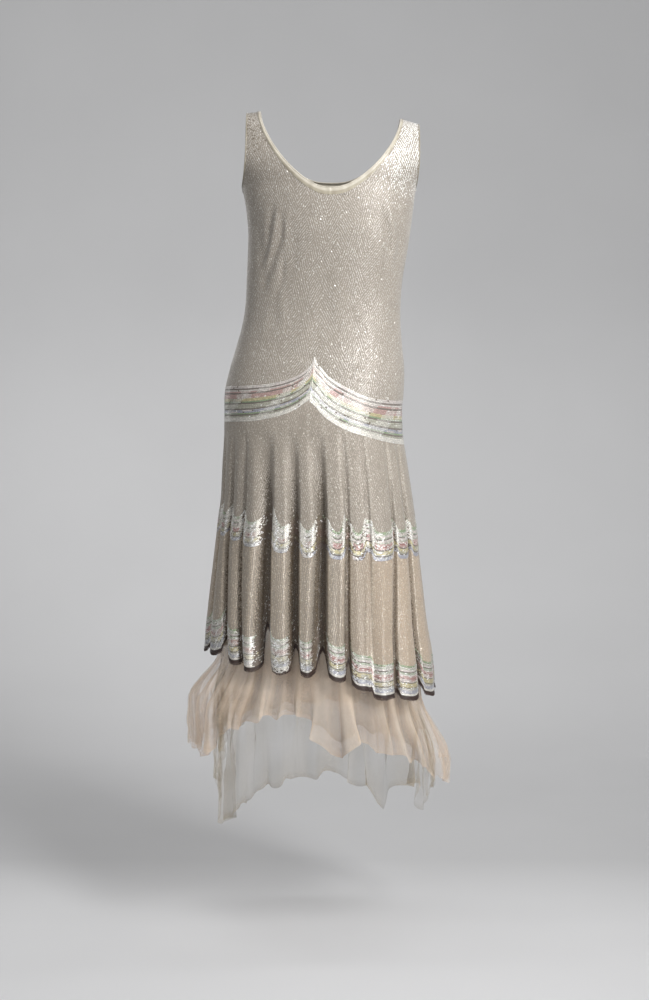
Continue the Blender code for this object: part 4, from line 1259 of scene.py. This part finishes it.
def tulle_sheet(name, layer, low, high, material, node_name):
    n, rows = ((480, 38))
    ply = {"short": 0, "long": 1}[layer]
    degrees = np.linspace(low, high, n)
    hem = tulle_value(degrees, 3 + ply)
    jag = sum(a * np.sin(np.radians(degrees) * w + p) for w, a, p in
              ((23, 0.0035, 1.1 + ply), (41, 0.0020, 4.0 + ply), (67, 0.0010, 2.2)))
    hem = np.maximum(hem + jag, -1.306)
    top = mix(-0.752, -0.722, (np.cos(np.radians(degrees)) + 1) / 2)
    t = np.linspace(0, 1, rows)[:, None]
    z = mix(hem[None], top[None], t)
    grown = np.clip((z - MID_LEVEL) / (HEM_LEVEL - MID_LEVEL), 0, 1)
    inside = mix(room(degrees, 5)[None], room(degrees, 6)[None], grown) / 1000 + TULLE_CLEAR + ply * TULLE_PLY
    flare = tulle_value(degrees, 1 + ply)[None]
    start = hem_low(degrees)[None] - HEM_DROP
    puff = mix(PUFF[1], PUFF[0], (np.cos(np.radians(degrees))[None] + 1) / 2)
    spring = smooth((start - z) / puff)
    below = np.clip((start - z) / 0.16, 0, 1)
    inset = mix(inside, -flare, spring)
    ripple = mix(0.0018, 0.0070, spring) + 0.0055 * below
    if ply:
        ripple = ripple * (1 - 0.30 * below)
    fold = gathers(degrees[None], z)
    if ply:
        fold = fold + 0.16 * np.sin(np.radians(degrees)[None] * 47 + 3 * z)
    side_on = smooth((np.abs(np.cos(np.radians(degrees)[None])) - 0.72) / 0.26)
    fold = np.where(fold < 0, fold * (1 - 0.8 * side_on), fold)
    inset = inset + 0.010 * side_on * spring
    shift = lap(degrees)[None] * ripple * fold * spring / 0.20
    turn = np.radians(degrees)[None]
    fine = sum(a * np.sin(turn * w + lean * z + p) for w, a, lean, p in FINE) * (spring + 0.25) * (1 - 0.45 * below)
    # soft crumples across the gathers
    crumple = np.sin(turn * 31 + 70 * z + 2.0 * np.sin(turn * 13)) * np.sin(turn * 19 - 95 * z + 1.3 * np.sin(60 * z + 3 * turn))
    fine = fine + 0.0026 * crumple * spring * (0.35 + 0.65 * below)
    points = on_dress(degrees[None] + np.degrees(shift), z, inset + ripple * fold + fine)
    # the net looks denser where a fold turns away
    steep = np.abs(np.gradient(ripple * fold + fine, axis=1)) / np.maximum(
        np.linalg.norm(np.gradient(points, axis=1), axis=-1), 1e-6)
    edge_dense = (0.30 if ply else 0.12) * np.exp(-((z - hem[None]) / (0.0030 + 0.001 * np.sin(turn * 37)))) + 0.35 * np.exp(-np.abs(start - z) / 0.030)
    # painted light: the ridges of the gathers and crumples are coloured lighter, the valleys darker
    ridge_light = 0.5 - 0.5 * np.tanh(1.5 * fold) - 0.16 * crumple * spring
    cloud = np.sin(turn * 11 + 21 * z + 0.8 * np.sin(turn * 7)) * np.sin(turn * 5 - 33 * z + ply)
    dense = 0.34 + edge_dense + (0.14 if ply else 0.36) * np.clip(steep - 0.30, 0, 0.8) + 0.12 * (ridge_light - 0.5) - 0.26 * side_on
    dense = dense + (0.15 if ply else 0.08) * cloud
    faces = grid_faces(rows, n, flip=True)
    # painted light: the ridge colour is held darker at the middle of each half and lighter toward the wearer's left and
    # right sides
    obj = mesh_from(name, points.reshape(-1, 3), faces, slots=[material],
                    values={"dense": np.clip(dense, 0, 1).ravel(), "ridge_light": (ridge_light * 0.62 + 0.22 * side_on).ravel()})
    wear(obj, "peach_tulle" if layer == "short" else "sheer_tulle", node_name)
    return obj


tulle_sheet("tulle_short_back_net", "short", 0, 180, TULLE_SHORT, "tulle_short_back")
tulle_sheet("tulle_short_front_net", "short", 180, 360, TULLE_SHORT, "tulle_short_front")
tulle_sheet("tulle_long_back_net", "long", 0, 180, TULLE_LONG, "tulle_long_back")
tulle_sheet("tulle_long_front_net", "long", 180, 360, TULLE_LONG, "tulle_long_front")

# ------------------------------------------------------------------ stage
FLOOR = -1.47


def stage_material(name, colour):
    """Paper with painted light: its grey is scaled by the "tone" attribute, lighter on the floor than on the wall."""
    m, tree, shader = new_material(name, colour, 0.85)
    noise, ramp = vary(tree, shader, (tuple(c * 0.985 for c in colour), tuple(min(1, c * 1.015) for c in colour)),
                       3.0, object_place(tree))
    tone = node(tree, "ShaderNodeAttribute", attribute_name="tone")
    shaded = node(tree, "ShaderNodeVectorMath", operation="SCALE")
    tree.links.new(ramp.outputs["Color"], shaded.inputs[0])
    tree.links.new(tone.outputs["Fac"], shaded.inputs["Scale"])
    tree.links.new(shaded.outputs["Vector"], shader.inputs["Base Color"])
    return m


# way along the paper from its front edge, in metres, and tone: painted light, lighter on the floor, a darker band at
# the foot of the wall, darker again at the top
PAPER_PAINTED_LIGHT = ((0, 1.45), (4.1, 1.45), (4.5, 1.36), (4.75, 1.15), (4.9, 1.02), (5.3, 1.02), (5.7, 1.08), (6.3, 1.10),
         (7.0, 1.09), (7.7, 1.08), (8.1, 1.02), (8.5, 0.95), (9.0, 0.82), (12, 0.80))
profile = [(4.5, FLOOR)] + [(y, FLOOR) for y in np.linspace(4.0, -1.2, 53)]
for a in np.linspace(0, 90, 16)[1:]:
    profile.append((-1.2 - 1.2 * math.sin(math.radians(a)), FLOOR + 1.2 * (1 - math.cos(math.radians(a)))))
profile += [(-2.4, z) for z in np.linspace(0.1, 4.0, 8)]
xs = np.linspace(-6, 6, 25)
grid = np.array([[(x, y, z) for x in xs] for y, z in profile])
way = (4.5 - grid[..., 1]) + (grid[..., 2] - FLOOR)
tone = np.interp(way, [w for w, _ in PAPER_PAINTED_LIGHT], [t for _, t in PAPER_PAINTED_LIGHT])
backdrop = mesh_from("backdrop", grid.reshape(-1, 3), grid_faces(len(profile), len(xs)),
                     slots=[stage_material("pale_grey_paper", (0.52, 0.52, 0.525))], values={"tone": tone.ravel()})


def area_light(name, place, target, size, power, spread=180):
    light = bpy.data.lights.new(name, "AREA")
    light.shape = "RECTANGLE"
    light.size, light.size_y = size
    light.energy = power
    light.spread = math.radians(spread)
    obj = link(bpy.data.objects.new(name, light))
    obj.location = place
    obj.rotation_euler = (Vector(target) - Vector(place)).to_track_quat("-Z", "Y").to_euler()
    return obj


area_light("key_high", (-0.9, 1.3, 0.8), (-0.05, 0.05, -0.2), (0.5, 0.5), 8.6, 100)
area_light("key_side", (-1.4, 1.5, 0.1), (-0.05, 0.05, -0.35), (0.5, 0.5), 5.8, 100)
area_light("fill_low", (-1.3, 2.0, -1.0), (-0.1, 0.05, -1.0), (0.5, 0.5), 1.1, 50)
area_light("rim_right", (-1.15, -1.45, 0.25), (-0.1, 0, -0.35), (0.4, 1.2), 0.5, 60)
area_light("rim_left", (1.2, -1.45, 0.25), (0.1, 0, -0.35), (0.4, 1.2), 0.5, 60)
area_light("backdrop_wash", (-0.3, -0.3, 3.1), (-0.2, -2.4, 0.8), (5.0, 0.5), 42, 130)

world = bpy.data.worlds.new("studio")
world.use_nodes = True
world.node_tree.nodes["Background"].inputs["Color"].default_value = (0.825, 0.826, 0.828, 1)
world.node_tree.nodes["Background"].inputs["Strength"].default_value = 0.60
bpy.context.scene.world = world

camera_data = bpy.data.cameras.new("camera")
camera_data.sensor_fit = "VERTICAL"
camera_data.sensor_height = 36
camera_data.lens = 67.46
camera_data.clip_end = 60
camera = link(bpy.data.objects.new("camera", camera_data))
camera.location = (0.0132, 3.35, -0.27)
camera.rotation_euler = (math.radians(83.1), 0, math.radians(180))
bpy.context.scene.camera = camera

bpy.context.scene.view_settings.view_transform = "Standard"
